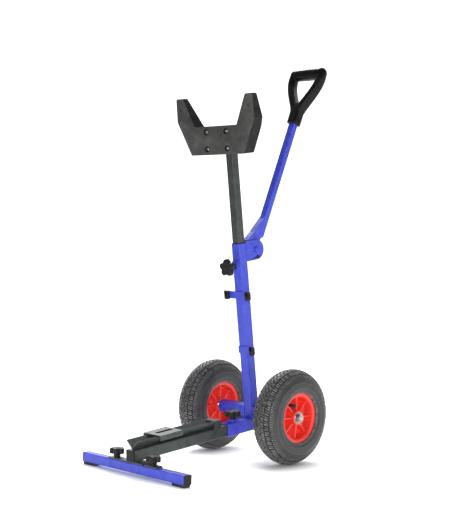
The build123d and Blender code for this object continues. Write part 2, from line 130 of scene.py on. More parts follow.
def areaLight(name, place, power, size, target, spread):
    data = bpy.data.lights.new(name, "AREA")
    data.energy = power
    data.size = size
    data.spread = radians(spread)
    lamp = bpy.data.objects.new(name, data)
    lamp.location = place
    lamp.rotation_mode = "QUATERNION"
    lamp.rotation_quaternion = (Vector(target) - Vector(place)).to_track_quat("-Z", "Y")
    bpy.context.scene.collection.objects.link(lamp)


def buildStudio():
    world = bpy.data.worlds.new("studioRoom")
    world.use_nodes = True
    tree = world.node_tree
    background = tree.nodes["Background"]
    place = tree.nodes.new("ShaderNodeTexCoord")
    split = tree.nodes.new("ShaderNodeSeparateXYZ")
    ramp = tree.nodes.new("ShaderNodeMapRange")
    ramp.interpolation_type = "SMOOTHSTEP"
    ramp.inputs["From Min"].default_value = studio["roomBlend"][0]
    ramp.inputs["From Max"].default_value = studio["roomBlend"][1]
    ramp.inputs["To Min"].default_value = studio["roomFront"]
    ramp.inputs["To Max"].default_value = studio["roomBack"]
    tree.links.new(place.outputs["Generated"], split.inputs["Vector"])
    tree.links.new(split.outputs["Y"], ramp.inputs["Value"])
    rightward = smoothRange(tree, split.outputs["X"], *studio["shadeRight"])
    upward = smoothRange(tree, split.outputs["Z"], *studio["shadeUp"])
    shade = mathNode(tree, "MULTIPLY", mathNode(tree, "MULTIPLY", rightward, upward), studio["roomShade"])
    strength = mathNode(tree, "MULTIPLY", ramp.outputs["Result"], mathNode(tree, "SUBTRACT", 1.0, shade))
    tree.links.new(strength, background.inputs["Strength"])
    background.inputs["Color"].default_value = (1, 1, 1, 1)
    bpy.context.scene.world = world
    bpy.context.scene.view_settings.view_transform = "Standard"

    half = studio["floorHalf"]
    floorMesh = bpy.data.meshes.new("studioFloor")
    floorCorners = [(-half, -half, 0), (half, -half, 0), (half, half, 0), (-half, half, 0)]
    floorMesh.from_pydata(floorCorners, [], [(0, 1, 2, 3)])
    floor = bpy.data.objects.new("studioFloor", floorMesh)
    bpy.context.scene.collection.objects.link(floor)
    paper = bpy.data.materials.new("studioPaper")
    paper.use_nodes = True
    tree = paper.node_tree
    shader = tree.nodes["Principled BSDF"]
    shader.inputs["Roughness"].default_value = 0.85
    shader.inputs["Specular IOR Level"].default_value = 0.15
    # the floor's glow fades near the tyres and feet: a painted contact shadow
    contact = addNode(tree, "ShaderNodeAmbientOcclusion", samples=16)
    contact.inputs["Distance"].default_value = studio["contactReach"]
    contactShade = mathNode(tree, "POWER", contact.outputs["AO"], studio["contactPower"])
    glow = mathNode(tree, "MULTIPLY", contactShade, studio["floorGlow"])
    tree.links.new(glow, shader.inputs["Emission Strength"])
    place = tree.nodes.new("ShaderNodeTexCoord")
    toward = tree.nodes.new("ShaderNodeVectorMath")
    toward.operation = "DOT_PRODUCT"
    toward.inputs[1].default_value = studio["fadeToward"]
    tree.links.new(place.outputs["Object"], toward.inputs[0])
    far = smoothRange(tree, toward.outputs["Value"], *studio["fadeRange"])
    tree.links.new(mixColors(tree, far, studio["floorColor"], studio["farColor"]),
        shader.inputs["Base Color"])
    tree.links.new(mixColors(tree, far, (1, 1, 1, 1), studio["farGlow"]), shader.inputs["Emission Color"])
    floorMesh.materials.append(paper)
    for name, values in softboxes.items():
        areaLight(name, *values)


# ---- node groups shared by the finishes ----
def startGroup(name, inputs, outputs):
    group = bpy.data.node_groups.new(name, "ShaderNodeTree")
    for label, kind, value in inputs:
        socket = group.interface.new_socket(name=label, in_out="INPUT", socket_type=kind)
        socket.default_value = value
    for label, kind in outputs:
        group.interface.new_socket(name=label, in_out="OUTPUT", socket_type=kind)
    start = group.nodes.new("NodeGroupInput")
    end = group.nodes.new("NodeGroupOutput")
    return group, start, end


def addNode(tree, kind, **settings):
    node = tree.nodes.new(kind)
    for key, value in settings.items():
        setattr(node, key, value)
    return node


def addNoise(tree, detail, roughness=0.5, distortion=0.0):
    noise = tree.nodes.new("ShaderNodeTexNoise")
    noise.inputs["Detail"].default_value = detail
    noise.inputs["Roughness"].default_value = roughness
    noise.inputs["Distortion"].default_value = distortion
    return noise


def addRange(tree, fromMin, fromMax, toMin=0.0, toMax=1.0):
    ramp = addNode(tree, "ShaderNodeMapRange", clamp=True)
    ramp.inputs["From Min"].default_value = fromMin
    ramp.inputs["From Max"].default_value = fromMax
    ramp.inputs["To Min"].default_value = toMin
    ramp.inputs["To Max"].default_value = toMax
    return ramp


def mathNode(tree, operation, first, second):
    node = addNode(tree, "ShaderNodeMath", operation=operation)
    for socket, value in zip(node.inputs, (first, second)):
        if hasattr(value, "links"):
            tree.links.new(value, socket)
        else:
            socket.default_value = value
    return node.outputs["Value"]


def mixColors(tree, factor, first, second, blend="MIX"):
    mix = addNode(tree, "ShaderNodeMix", data_type="RGBA", blend_type=blend)
    for socket, value in zip((mix.inputs[0], mix.inputs[6], mix.inputs[7]), (factor, first, second)):
        if hasattr(value, "links"):
            tree.links.new(value, socket)
        else:
            socket.default_value = value
    return mix.outputs[2]


def smoothRange(tree, value, fromMin, fromMax):
    ramp = addNode(tree, "ShaderNodeMapRange", clamp=True, interpolation_type="SMOOTHSTEP")
    ramp.inputs["From Min"].default_value = fromMin
    ramp.inputs["From Max"].default_value = fromMax
    tree.links.new(value, ramp.inputs["Value"])
    return ramp.outputs["Result"]


def cloudySkin():  # slow tone changes and a fine grain: powder coat, moulded plastic, rubber
    group, start, end = startGroup(
        "cloudySkin",
        [
            ("Color", "NodeSocketColor", (0.5, 0.5, 0.5, 1)),
            ("Cloud Color", "NodeSocketColor", (0.5, 0.5, 0.5, 1)),
            ("Cloud Amount", "NodeSocketFloat", 0.3),
            ("Cloud Scale", "NodeSocketFloat", 20.0),
            ("Grain Scale", "NodeSocketFloat", 900.0),
            ("Rough Low", "NodeSocketFloat", 0.3),
            ("Rough High", "NodeSocketFloat", 0.5),
        ],
        [("Color", "NodeSocketColor"), ("Roughness", "NodeSocketFloat"), ("Height", "NodeSocketFloat")],
    )
    place = addNode(group, "ShaderNodeTexCoord")
    cloud = addNoise(group, 4, 0.55, 0.3)
    grain = addNoise(group, 2, 0.5)
    for noise, scale in ((cloud, "Cloud Scale"), (grain, "Grain Scale")):
        group.links.new(place.outputs["Object"], noise.inputs["Vector"])
        group.links.new(start.outputs[scale], noise.inputs["Scale"])
    spread = addRange(group, 0.38, 0.66)
    group.links.new(cloud.outputs["Fac"], spread.inputs["Value"])
    amount = mathNode(group, "MULTIPLY", spread.outputs["Result"], start.outputs["Cloud Amount"])
    color = mixColors(group, amount, start.outputs["Color"], start.outputs["Cloud Color"])
    rough = addNode(group, "ShaderNodeMapRange", clamp=True)
    rough.inputs["From Min"].default_value = 0.3
    rough.inputs["From Max"].default_value = 0.7
    cloudShare = mathNode(group, "MULTIPLY", cloud.outputs["Fac"], 0.6)
    grainShare = mathNode(group, "MULTIPLY", grain.outputs["Fac"], 0.4)
    blended = mathNode(group, "ADD", cloudShare, grainShare)
    group.links.new(blended, rough.inputs["Value"])
    group.links.new(start.outputs["Rough Low"], rough.inputs["To Min"])
    group.links.new(start.outputs["Rough High"], rough.inputs["To Max"])
    group.links.new(color, end.inputs["Color"])
    group.links.new(rough.outputs["Result"], end.inputs["Roughness"])
    group.links.new(grain.outputs["Fac"], end.inputs["Height"])
    return group


def edgeWearAndGlint():  # corners and ridges in another colour: rubbed wear on most finishes, a painted highlight on the tyre tread
    group, start, end = startGroup(
        "edgeWearAndGlint",
        [
            ("Color", "NodeSocketColor", (0.5, 0.5, 0.5, 1)),
            ("Edge Color", "NodeSocketColor", (0.8, 0.8, 0.8, 1)),
            ("Amount", "NodeSocketFloat", 0.5),
            ("Patch Scale", "NodeSocketFloat", 60.0),
        ],
        [("Color", "NodeSocketColor"), ("Mask", "NodeSocketFloat")],
    )
    shape = addNode(group, "ShaderNodeNewGeometry")
    place = addNode(group, "ShaderNodeTexCoord")
    ridge = addRange(group, 0.505, 0.60)
    group.links.new(shape.outputs["Pointiness"], ridge.inputs["Value"])
    patch = addNoise(group, 3, 0.6)
    group.links.new(place.outputs["Object"], patch.inputs["Vector"])
    group.links.new(start.outputs["Patch Scale"], patch.inputs["Scale"])
    patches = addRange(group, 0.35, 0.6)
    group.links.new(patch.outputs["Fac"], patches.inputs["Value"])
    worn = mathNode(group, "MULTIPLY", ridge.outputs["Result"], patches.outputs["Result"])
    mask = mathNode(group, "MULTIPLY", worn, start.outputs["Amount"])
    color = mixColors(group, mask, start.outputs["Color"], start.outputs["Edge Color"])
    group.links.new(color, end.inputs["Color"])
    group.links.new(mask, end.inputs["Mask"])
    return group


def fineScuffs():  # thin scratches and specks in two directions
    group, start, end = startGroup(
        "fineScuffs",
        [
            ("Color", "NodeSocketColor", (0.5, 0.5, 0.5, 1)),
            ("Scuff Color", "NodeSocketColor", (0.8, 0.8, 0.8, 1)),
            ("Amount", "NodeSocketFloat", 0.3),
            ("Stretch", "NodeSocketVector", (60.0, 60.0, 900.0)),
        ],
        [("Color", "NodeSocketColor"), ("Mask", "NodeSocketFloat")],
    )
    place = addNode(group, "ShaderNodeTexCoord")
    stretch = addNode(group, "ShaderNodeVectorMath", operation="MULTIPLY")
    group.links.new(place.outputs["Object"], stretch.inputs[0])
    group.links.new(start.outputs["Stretch"], stretch.inputs[1])
    streak = addNoise(group, 3, 0.6)
    streak.inputs["Scale"].default_value = 1.0
    group.links.new(stretch.outputs["Vector"], streak.inputs["Vector"])
    thin = addRange(group, 0.60, 0.78)
    group.links.new(streak.outputs["Fac"], thin.inputs["Value"])
    mask = mathNode(group, "MULTIPLY", thin.outputs["Result"], start.outputs["Amount"])
    color = mixColors(group, mask, start.outputs["Color"], start.outputs["Scuff Color"])
    group.links.new(color, end.inputs["Color"])
    group.links.new(mask, end.inputs["Mask"])
    return group


def facingDustAndSheen():  # a paler colour painted on the faces that look one way: painted sheen on the yoke, a dusty film and a painted highlight on the tyre
    group, start, end = startGroup(
        "facingDustAndSheen",
        [
            ("Color", "NodeSocketColor", (0.5, 0.5, 0.5, 1)),
            ("Dust And Sheen Color", "NodeSocketColor", (0.5, 0.45, 0.4, 1)),
            ("Amount", "NodeSocketFloat", 0.5),
            ("Facing", "NodeSocketVector", (0.0, 0.0, 1.0)),
            ("Patch Scale", "NodeSocketFloat", 40.0),
        ],
        [("Color", "NodeSocketColor"), ("Mask", "NodeSocketFloat")],
    )
    shape = addNode(group, "ShaderNodeNewGeometry")
    place = addNode(group, "ShaderNodeTexCoord")
    toward = addNode(group, "ShaderNodeVectorMath", operation="DOT_PRODUCT")
    group.links.new(shape.outputs["Normal"], toward.inputs[0])
    group.links.new(start.outputs["Facing"], toward.inputs[1])
    faces = addRange(group, 0.55, 0.95)
    group.links.new(toward.outputs["Value"], faces.inputs["Value"])
    patch = addNoise(group, 5, 0.6, 0.4)
    group.links.new(place.outputs["Object"], patch.inputs["Vector"])
    group.links.new(start.outputs["Patch Scale"], patch.inputs["Scale"])
    patches = addRange(group, 0.36, 0.64, 0.30, 1.0)
    group.links.new(patch.outputs["Fac"], patches.inputs["Value"])
    covered = mathNode(group, "MULTIPLY", faces.outputs["Result"], patches.outputs["Result"])
    mask = mathNode(group, "MULTIPLY", covered, start.outputs["Amount"])
    color = mixColors(group, mask, start.outputs["Color"], start.outputs["Dust And Sheen Color"])
    group.links.new(color, end.inputs["Color"])
    group.links.new(mask, end.inputs["Mask"])
    return group


groups = {"skin": cloudySkin(), "edge": edgeWearAndGlint(), "scuff": fineScuffs(), "dustAndSheen": facingDustAndSheen()}
print("node groups ready")
placeCamera()
buildStudio()
print("camera and studio ready")


# ---- finishes ----
def newFinish(name, shaderValues):
    finish = bpy.data.materials.new(name)
    finish.use_nodes = True
    shader = finish.node_tree.nodes["Principled BSDF"]
    for key, value in shaderValues.items():
        shader.inputs[key].default_value = value
    return finish, finish.node_tree, shader


def layer(tree, groupName, values, color=None):
    node = addNode(tree, "ShaderNodeGroup", node_tree=groups[groupName])
    for key, value in values.items():
        node.inputs[key].default_value = value
    if color is not None:
        tree.links.new(color, node.inputs["Color"])
    return node


def bumpFrom(tree, shader, height, strength, distance):
    bump = addNode(tree, "ShaderNodeBump")
    bump.inputs["Strength"].default_value = strength
    bump.inputs["Distance"].default_value = distance
    tree.links.new(height, bump.inputs["Height"])
    tree.links.new(bump.outputs["Normal"], shader.inputs["Normal"])


def rgb(red, green, blue):
    return (red, green, blue, 1)


bluePaint = {
    "color": rgb(0.030, 0.050, 0.560),
    "cloud": rgb(0.045, 0.075, 0.640),
    "edge": rgb(0.16, 0.20, 0.78),
    "roughness": (0.30, 0.44),
    "peel": 650,
}
greyPaint = {
    "color": rgb(0.022, 0.028, 0.027),
    "cloud": rgb(0.048, 0.057, 0.055),
    "edge": rgb(0.13, 0.14, 0.135),
    "roughness": (0.36, 0.52),
    "peel": 800,
}


def paintFinish(name, paint, scuffColor):
    finish, tree, shader = newFinish(name, {"Coat Roughness": 0.25, "Specular IOR Level": 0.5})
    skin = layer(tree, "skin", {
        "Color": paint["color"], "Cloud Color": paint["cloud"], "Cloud Amount": 0.55, "Cloud Scale": 14,
        "Grain Scale": paint["peel"], "Rough Low": paint["roughness"][0],
        "Rough High": paint["roughness"][1],
    })
    edge = layer(tree, "edge", {"Edge Color": paint["edge"], "Amount": 0.5}, skin.outputs["Color"])
    scuff = layer(tree, "scuff", {"Scuff Color": scuffColor, "Amount": 0.12}, edge.outputs["Color"])
    tree.links.new(scuff.outputs["Color"], shader.inputs["Base Color"])
    tree.links.new(skin.outputs["Roughness"], shader.inputs["Roughness"])
    bumpFrom(tree, shader, skin.outputs["Height"], 0.22, 0.0006)
    return finish


def zincFinish():
    zinc = {"color": rgb(0.46, 0.46, 0.45), "cloud": rgb(0.30, 0.295, 0.28), "scuff": rgb(0.75, 0.75, 0.74)}
    finish, tree, shader = newFinish("zincPlate", {"Metallic": 1.0})
    skin = layer(tree, "skin", {
        "Color": zinc["color"], "Cloud Color": zinc["cloud"], "Cloud Amount": 0.6, "Cloud Scale": 120,
        "Grain Scale": 2200, "Rough Low": 0.22, "Rough High": 0.42,
    })
    scuff = layer(tree, "scuff", {"Scuff Color": zinc["scuff"], "Amount": 0.5, "Stretch": (200, 900, 900)},
        skin.outputs["Color"])
    tree.links.new(scuff.outputs["Color"], shader.inputs["Base Color"])
    tree.links.new(skin.outputs["Roughness"], shader.inputs["Roughness"])
    bumpFrom(tree, shader, skin.outputs["Height"], 0.15, 0.0002)
    return finish


def mouldedFinish(name, color, cloud, edge, roughness, grain, bump, specular=0.5, edgeAmount=0.5):
    finish, tree, shader = newFinish(name, {"Specular IOR Level": specular})
    skin = layer(tree, "skin", {
        "Color": color, "Cloud Color": cloud, "Cloud Amount": 0.6, "Cloud Scale": 45,
        "Grain Scale": grain, "Rough Low": roughness[0], "Rough High": roughness[1],
    })
    edgeNode = layer(tree, "edge", {"Edge Color": edge, "Amount": edgeAmount, "Patch Scale": 90},
        skin.outputs["Color"])
    scuff = layer(tree, "scuff", {"Scuff Color": edge, "Amount": 0.10, "Stretch": (400, 120, 120)},
        edgeNode.outputs["Color"])
    tree.links.new(scuff.outputs["Color"], shader.inputs["Base Color"])
    tree.links.new(skin.outputs["Roughness"], shader.inputs["Roughness"])
    bumpFrom(tree, shader, skin.outputs["Height"], bump, 0.0005)
    return finish


def yokeFinish():
    look = {
        "color": rgb(0.012, 0.012, 0.012),
        "cloud": rgb(0.022, 0.022, 0.022),
        # the forward faces get a painted sheen, paler than the bare rubber, with brown stained patches over it
        "paintedFrontSheen": rgb(0.215, 0.215, 0.213),
        "brown": rgb(0.048, 0.047, 0.046),
        "edge": rgb(0.12, 0.115, 0.11),
    }
    finish, tree, shader = newFinish("yokeSkin", {"Specular IOR Level": 0.12})
    forward = -(postSpace.to_3x3() @ Vector((0, 1, 0)))
    skin = layer(tree, "skin", {
        "Color": look["color"], "Cloud Color": look["cloud"], "Cloud Amount": 0.8, "Cloud Scale": 30,
        "Grain Scale": 1100, "Rough Low": 0.62, "Rough High": 0.85,
    })
    # forward faces painted much paler than the bare rubber: a painted sheen for the light they catch
    paintedFrontSheen = layer(tree, "dustAndSheen", {
        "Dust And Sheen Color": look["paintedFrontSheen"], "Amount": 0.85, "Facing": forward, "Patch Scale": 11,
    }, skin.outputs["Color"])
    # brown stained patches on the same forward faces; they stay paler than the bare rubber, so they carry part of the
    # painted sheen
    stainAndSheen = layer(tree, "dustAndSheen", {
        "Dust And Sheen Color": look["brown"], "Amount": 0.75, "Facing": forward, "Patch Scale": 24,
    }, paintedFrontSheen.outputs["Color"])
    edge = layer(tree, "edge", {"Edge Color": look["edge"], "Amount": 0.7, "Patch Scale": 50},
        stainAndSheen.outputs["Color"])
    tree.links.new(edge.outputs["Color"], shader.inputs["Base Color"])
    tree.links.new(skin.outputs["Roughness"], shader.inputs["Roughness"])
    bumpFrom(tree, shader, skin.outputs["Height"], 0.45, 0.0008)
    return finish


def tyreFinish():
    look = {
        "color": rgb(0.033, 0.033, 0.034),
        "cloud": rgb(0.052, 0.052, 0.053),
        "dustAndSheen": rgb(0.115, 0.112, 0.108),
        "edge": rgb(0.42, 0.42, 0.42),
    }
    finish, tree, shader = newFinish("tyreSkin", {"Specular IOR Level": 0.42})
    skin = layer(tree, "skin", {
        "Color": look["color"], "Cloud Color": look["cloud"], "Cloud Amount": 0.8, "Cloud Scale": 26,
        "Grain Scale": 1400, "Rough Low": 0.36, "Rough High": 0.60,
    })
    # faces looking forward and up painted paler: a dusty film, and a painted highlight where the tread blocks face the
    # light
    dustAndSheen = layer(tree, "dustAndSheen", {
        "Dust And Sheen Color": look["dustAndSheen"], "Amount": 0.30, "Facing": (0.0, -0.7, 0.4), "Patch Scale": 60,
    }, skin.outputs["Color"])
    # the pale ridge colour is a painted highlight: glints along the tread block edges
    edge = layer(tree, "edge", {"Edge Color": look["edge"], "Amount": 0.8, "Patch Scale": 120},
        dustAndSheen.outputs["Color"])
    tree.links.new(edge.outputs["Color"], shader.inputs["Base Color"])
    tree.links.new(skin.outputs["Roughness"], shader.inputs["Roughness"])
    bumpFrom(tree, shader, skin.outputs["Height"], 0.3, 0.0005)
    return finish


finishes = {
    "blue_paint": paintFinish("bluePowderCoat", bluePaint, rgb(0.20, 0.24, 0.75)),
    "grey_paint": paintFinish("greyPowderCoat", greyPaint, rgb(0.12, 0.13, 0.125)),
    "zinc_steel": zincFinish(),
    "black_plastic": mouldedFinish(
        "blackMoulding", rgb(0.008, 0.008, 0.008), rgb(0.015, 0.015, 0.0145), rgb(0.06, 0.06, 0.06),
        (0.34, 0.52), 1300, 0.30, 0.22),
    "yoke_rubber": yokeFinish(),
    "handle_plastic": mouldedFinish(
        "gripMoulding", rgb(0.007, 0.007, 0.007), rgb(0.014, 0.0135, 0.013), rgb(0.045, 0.045, 0.044),
        (0.24, 0.40), 1500, 0.28, 0.17, 0.4),
    "red_plastic": mouldedFinish(
        "redMoulding", rgb(0.78, 0.036, 0.026), rgb(0.90, 0.050, 0.036), rgb(0.92, 0.12, 0.085),
        (0.28, 0.42), 700, 0.12, 0.5, 0.5),
    "tyre_rubber": tyreFinish(),
    "tube_rubber": mouldedFinish(
        "tubeRubber", rgb(0.018, 0.018, 0.018), rgb(0.03, 0.03, 0.03), rgb(0.08, 0.08, 0.08),
        (0.45, 0.62), 900, 0.25),
    "pad_rubber": mouldedFinish(
        "padRubber", rgb(0.014, 0.014, 0.015), rgb(0.024, 0.024, 0.024), rgb(0.07, 0.07, 0.07),
        (0.55, 0.75), 900, 0.35),
}
print("finishes ready:", len(finishes))


# ---- carried-over CAD pieces: finish and softened cut edges ----
slotOf = {row["node"]: row["material_slot"] for row in frame["record"]["subparts"]}
softened = {
    "post_tube": 0.5, "axle_tube_left": 0.5, "axle_tube_right": 0.5, "axle_end_plates": 0.6,
    "socket_tube": 0.5,
    "hinge_cheeks": 0.8, "post_boss": 1.0, "socket_boss": 1.0, "upper_clip_strip": 0.7,
    "lower_clip_strip": 0.7,
    "arm_tube": 0.5, "arm_gusset": 0.8, "arm_foot": 0.8, "mast_tube": 0.5, "yoke_plate": 0.7,
    "base_tube": 0.5,
    "v_rail": 0.7, "bridge_plate": 0.7, "rail_stop": 1.0, "foot_plate": 0.7, "foot_beam": 0.5,
    "mast_guide": 0.6,
    "beam_cap_left": 0.8, "beam_cap_right": 0.8, "base_end_cap": 0.4, "foot_pad_left": 0.8,
    "foot_pad_right": 0.8,
}


def dressNodes():
    for name, node in frame["nodes"].items():
        slot = slotOf[name]
        node.data.materials.clear()
        node.data.materials.append(finishes[slot])
        if name in softened:
            weld = node.modifiers.new("joinSeams", "WELD")
            weld.merge_threshold = 0.00001
            bevel = node.modifiers.new("softEdges", "BEVEL")
            bevel.width = softened[name] / 1000
            bevel.segments = 2
            bevel.limit_method = "ANGLE"
            bevel.angle_limit = radians(35)
            normals = node.modifiers.new("evenShade", "WEIGHTED_NORMAL")
            normals.keep_sharp = False


dressNodes()
print("CAD pieces dressed:", len(frame["nodes"]))


# ---- mesh helpers ----
def makePiece(name, mesh, space, body, slot, stands=(), sharpAngle=32, evenShade=True):
    if isinstance(mesh, bmesh.types.BMesh):
        bmesh.ops.recalc_face_normals(mesh, faces=mesh.faces[:])
        data = bpy.data.meshes.new(name)
        mesh.to_mesh(data)
        mesh.free()
    else:
        data = mesh
    data.transform(space @ mm)
    data.polygons.foreach_set("use_smooth", [True] * len(data.polygons))
    data.set_sharp_from_angle(angle=radians(sharpAngle))
    data.materials.clear()
    data.materials.append(finishes[slot])
    piece = bpy.data.objects.new(name, data)
    bpy.context.scene.collection.objects.link(piece)
    if evenShade:
        normals = piece.modifiers.new("evenShade", "WEIGHTED_NORMAL")
        normals.keep_sharp = True
    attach(piece, body)
    if stands:
        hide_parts(*stands)
    return piece


def lathe(mesh, profile, steps, toPoint):
    rings = []
    for step in range(steps):
        angle = 2 * pi * step / steps
        rings.append([mesh.verts.new(toPoint(axial, radius, angle)) for axial, radius in profile])
    count = len(profile)
    for step in range(steps):
        here = rings[step]
        there = rings[(step + 1) % steps]
        for k in range(count):
            mesh.faces.new((here[k], here[(k + 1) % count], there[(k + 1) % count], there[k]))


def alongX(side):
    return lambda axial, radius, angle: (side * axial, -radius * sin(angle), radius * cos(angle))


def solidDisc(mesh, profile, steps, toPoint):  # a lathe whose first and last profile points lie on the axis
    first = mesh.verts.new(toPoint(profile[0][0], 0, 0))
    last = mesh.verts.new(toPoint(profile[-1][0], 0, 0))
    rings = []
    for axial, radius in profile[1:-1]:
        rings.append([mesh.verts.new(toPoint(axial, radius,
            2 * pi * step / steps)) for step in range(steps)])
    for step in range(steps):
        nextStep = (step + 1) % steps
        mesh.faces.new((first, rings[0][nextStep], rings[0][step]))
        mesh.faces.new((last, rings[-1][step], rings[-1][nextStep]))
        for low, high in zip(rings, rings[1:]):
            mesh.faces.new((low[step], low[nextStep], high[nextStep], high[step]))


def roundedOutline(corners, radii, steps=5):
    points = []
    count = len(corners)
    for k in range(count):
        before = Vector(corners[k - 1])
        corner = Vector(corners[k])
        after = Vector(corners[(k + 1) % count])
        toBefore = (before - corner).normalized()
        toAfter = (after - corner).normalized()
        halfAngle = toBefore.angle(toAfter) / 2
        radius = radii[k] if hasattr(radii, "__len__") else radii
        reach = radius / max(1e-6, sin(halfAngle) / cos(halfAngle))
        start = corner + toBefore * reach
        finish = corner + toAfter * reach
        for step in range(steps + 1):
            t = step / steps
            points.append((1 - t) ** 2 * start + 2 * t * (1 - t) * corner + t ** 2 * finish)
    return points


def prism(mesh, outline, near, far, toPoint):
    front = [mesh.verts.new(toPoint(a, b, near)) for a, b in outline]
    rear = [mesh.verts.new(toPoint(a, b, far)) for a, b in outline]
    faces = [mesh.faces.new(front), mesh.faces.new(list(reversed(rear)))]
    count = len(outline)
    for k in range(count):
        faces.append(mesh.faces.new((front[(k + 1) % count], front[k], rear[k], rear[(k + 1) % count])))
    return faces


def softenEdges(mesh, width, segments=3, above=40):
    bmesh.ops.recalc_face_normals(mesh, faces=mesh.faces[:])
    edges = [e for e in mesh.edges if len(e.link_faces) == 2 and e.calc_face_angle() > radians(above)]
    bmesh.ops.bevel(mesh, geom=edges, offset=width, segments=segments, profile=0.6, affect="EDGES",
        clamp_overlap=True)


def cutAway(target, cutters):  # takes the cutters' shapes out of the target mesh object
    for cutter in cutters:
        cut = target.modifiers.new("cut", "BOOLEAN")
        cut.operation = "DIFFERENCE"
        cut.solver = "EXACT"
        cut.object = cutter
    bpy.context.view_layer.update()
    depsgraph = bpy.context.evaluated_depsgraph_get()
    result = bpy.data.meshes.new_from_object(target.evaluated_get(depsgraph))
    for cutter in cutters:
        bpy.data.objects.remove(cutter)
    return result


def looseObject(name, mesh):
    bmesh.ops.recalc_face_normals(mesh, faces=mesh.faces[:])
    data = bpy.data.meshes.new(name)
    mesh.to_mesh(data)
    mesh.free()
    loose = bpy.data.objects.new(name, data)
    bpy.context.scene.collection.objects.link(loose)
    return loose


# ---- tyres ----
tyre = {
    "radius": 130,
    "casing": 42.5,
    "pitches": 56,
    "columns": 12,  # per pitch
    "groove": 4.6,
    "wallDepth": 2.4,
    "lean": 0.16,  # how far the cross slots slant, as a share of their length
    "bead": 26.3,
    "beadLow": 60.3,
    "lip": (31.1, 67.6),
}
# half the tread from its middle out: distance along the skin, zigzag, and what is there
treadRows = [
    (0.0, 0, "rib"), (2.0, 0.6, "rib"), (3.8, 2.0, "rib"), (4.6, 2.0, "groove"), (6.0, 2.0, "groove"),
    (6.8, 2.0, "block"), (9.5, 1.3, "block"), (12.5, 0.9, "block"), (15.2, 1.1, "block"),
    (16.0, 1.1, "groove"), (17.6, 1.1, "groove"), (18.4, 1.1, "shoulder"), (22.0, 0.4, "shoulder"),
    (26.0, 0, "shoulder"), (29.6, 0, "shoulder"), (31.2, 0, "foot"), (32.6, 0, "comb"), (35.0, 0, "comb"),
    (37.5, 0, "comb"), (40.0, 0, "comb"), (42.6, 0, "comb"), (44.2, 0, "wall"), (48.0, 0, "wall"),
    (52.0, 0, "wall"), (55.6, 0, "wall"), (56.6, 0, "ring"), (57.8, 0, "ring"), (58.8, 0, "wall"),
    (62.0, 0, "wall"), (65.5, 0, "wall"), (69.0, 0, "wall"), (71.6, 0, "wall"), (72.6, 0, "ring"),
    (74.2, 0, "ring"), (75.2, 0, "wall"), (78.0, 0, "wall"), (80.5, 0, "wall"),
]


def treadDepth(kind, column):
    deep = tyre["groove"]
    if kind == "groove":
        return deep
    if kind == "rib":
        return 2.2 if column in (5, 6) else 0
    if kind == "block":
        return 3.6 if column in (0, 1) else (1.2 if column == 7 else 0)
    if kind == "shoulder":
        return deep if column in (6, 7, 8) else (1.6 if column == 1 else 0)
    if kind == "foot":
        return deep * 0.85
    if kind == "comb":
        return 1.6 if column in (0, 1, 2, 6, 7, 8) else 2.6
    if kind == "ring":
        return 1.9
    return tyre["wallDepth"]


def buildTyre(name, side, body):
    columns = tyre["pitches"] * tyre["columns"]
    crown = tyre["radius"] - tyre["casing"]
    rows = [(-s, -zig, kind, 1) for s, zig, kind in reversed(treadRows[1:])]
    rows += [(s, zig, kind, 0) for s, zig, kind in treadRows]
    index = np.arange(columns)
    phase = (index % tyre["columns"]) / tyre["columns"]
    triangle = 4 * np.abs(phase - 0.5) - 1
    ringPoints = []
    for s, zig, kind, flipped in rows:
        local = (index + (tyre["columns"] // 2 if flipped else 0)) % tyre["columns"]
        depth = np.array([treadDepth(kind, c) for c in local])
        skin = s + zig * triangle * (-1 if flipped else 1)
        around = skin / tyre["casing"]
        reach = tyre["casing"] - depth
        axial = reach * np.sin(around)
        radius = crown + reach * np.cos(around)
        angle = 2 * pi * (index + tyre["lean"] * abs(s)) / columns
        ringPoints.append((axial, radius, angle))
    treadEnd = treadRows[-1][0]
    still = 2 * pi * (index + tyre["lean"] * treadEnd) / columns
    lipAxial, lipRadius = tyre["lip"]
    lastAxial = (tyre["casing"] - tyre["wallDepth"]) * sin(treadEnd / tyre["casing"])
    under = [
        (lastAxial - 0.9, 70.2), (lastAxial - 2.4, 68.4), (lipAxial + 2.6, lipRadius),
        (lipAxial + 0.6, lipRadius + 0.4),
        (lipAxial, 69.4), (tyre["bead"], 69.4), (tyre["bead"], tyre["beadLow"]),
        (20, tyre["beadLow"]), (20, 74), (25, 84), (27, 92), (22, 108), (12, 119), (0, 122),
    ]
    closing = under + [(-a, r) for a, r in reversed(under[:-1])]
    for a, r in closing:
        ringPoints.append((np.full(columns, float(a)), np.full(columns, float(r)), still))
    count = len(ringPoints)
    points = np.zeros((count, columns, 3))
    for k, (axial, radius, angle) in enumerate(ringPoints):
        points[k, :, 0] = side * axial
        points[k, :, 1] = -radius * np.sin(angle)
        points[k, :, 2] = radius * np.cos(angle)
    ring, column = np.meshgrid(np.arange(count), index, indexing="ij")
    nextRing = (ring + 1) % count
    nextColumn = (column + 1) % columns
    here = ring * columns
    there = nextRing * columns
    corners = [here + column, there + column, there + nextColumn, here + nextColumn]
    if side > 0:
        corners.reverse()
    faces = np.stack([c.ravel() for c in corners], axis=1)
    data = bpy.data.meshes.new(name)
    data.from_pydata(points.reshape(-1, 3).tolist(), [], faces.tolist())
    space = Matrix.Translation(Vector(joints[body + "_spin"]["pos_m"]))
    makePiece(name, data, space, body, "tyre_rubber", [f"tyre_{body[6:]}"], sharpAngle=38)


for side, body in ((-1, "wheel_left"), (1, "wheel_right")):
    buildTyre("tyre" + body[6:].title(), side, body)
print("tyres built")


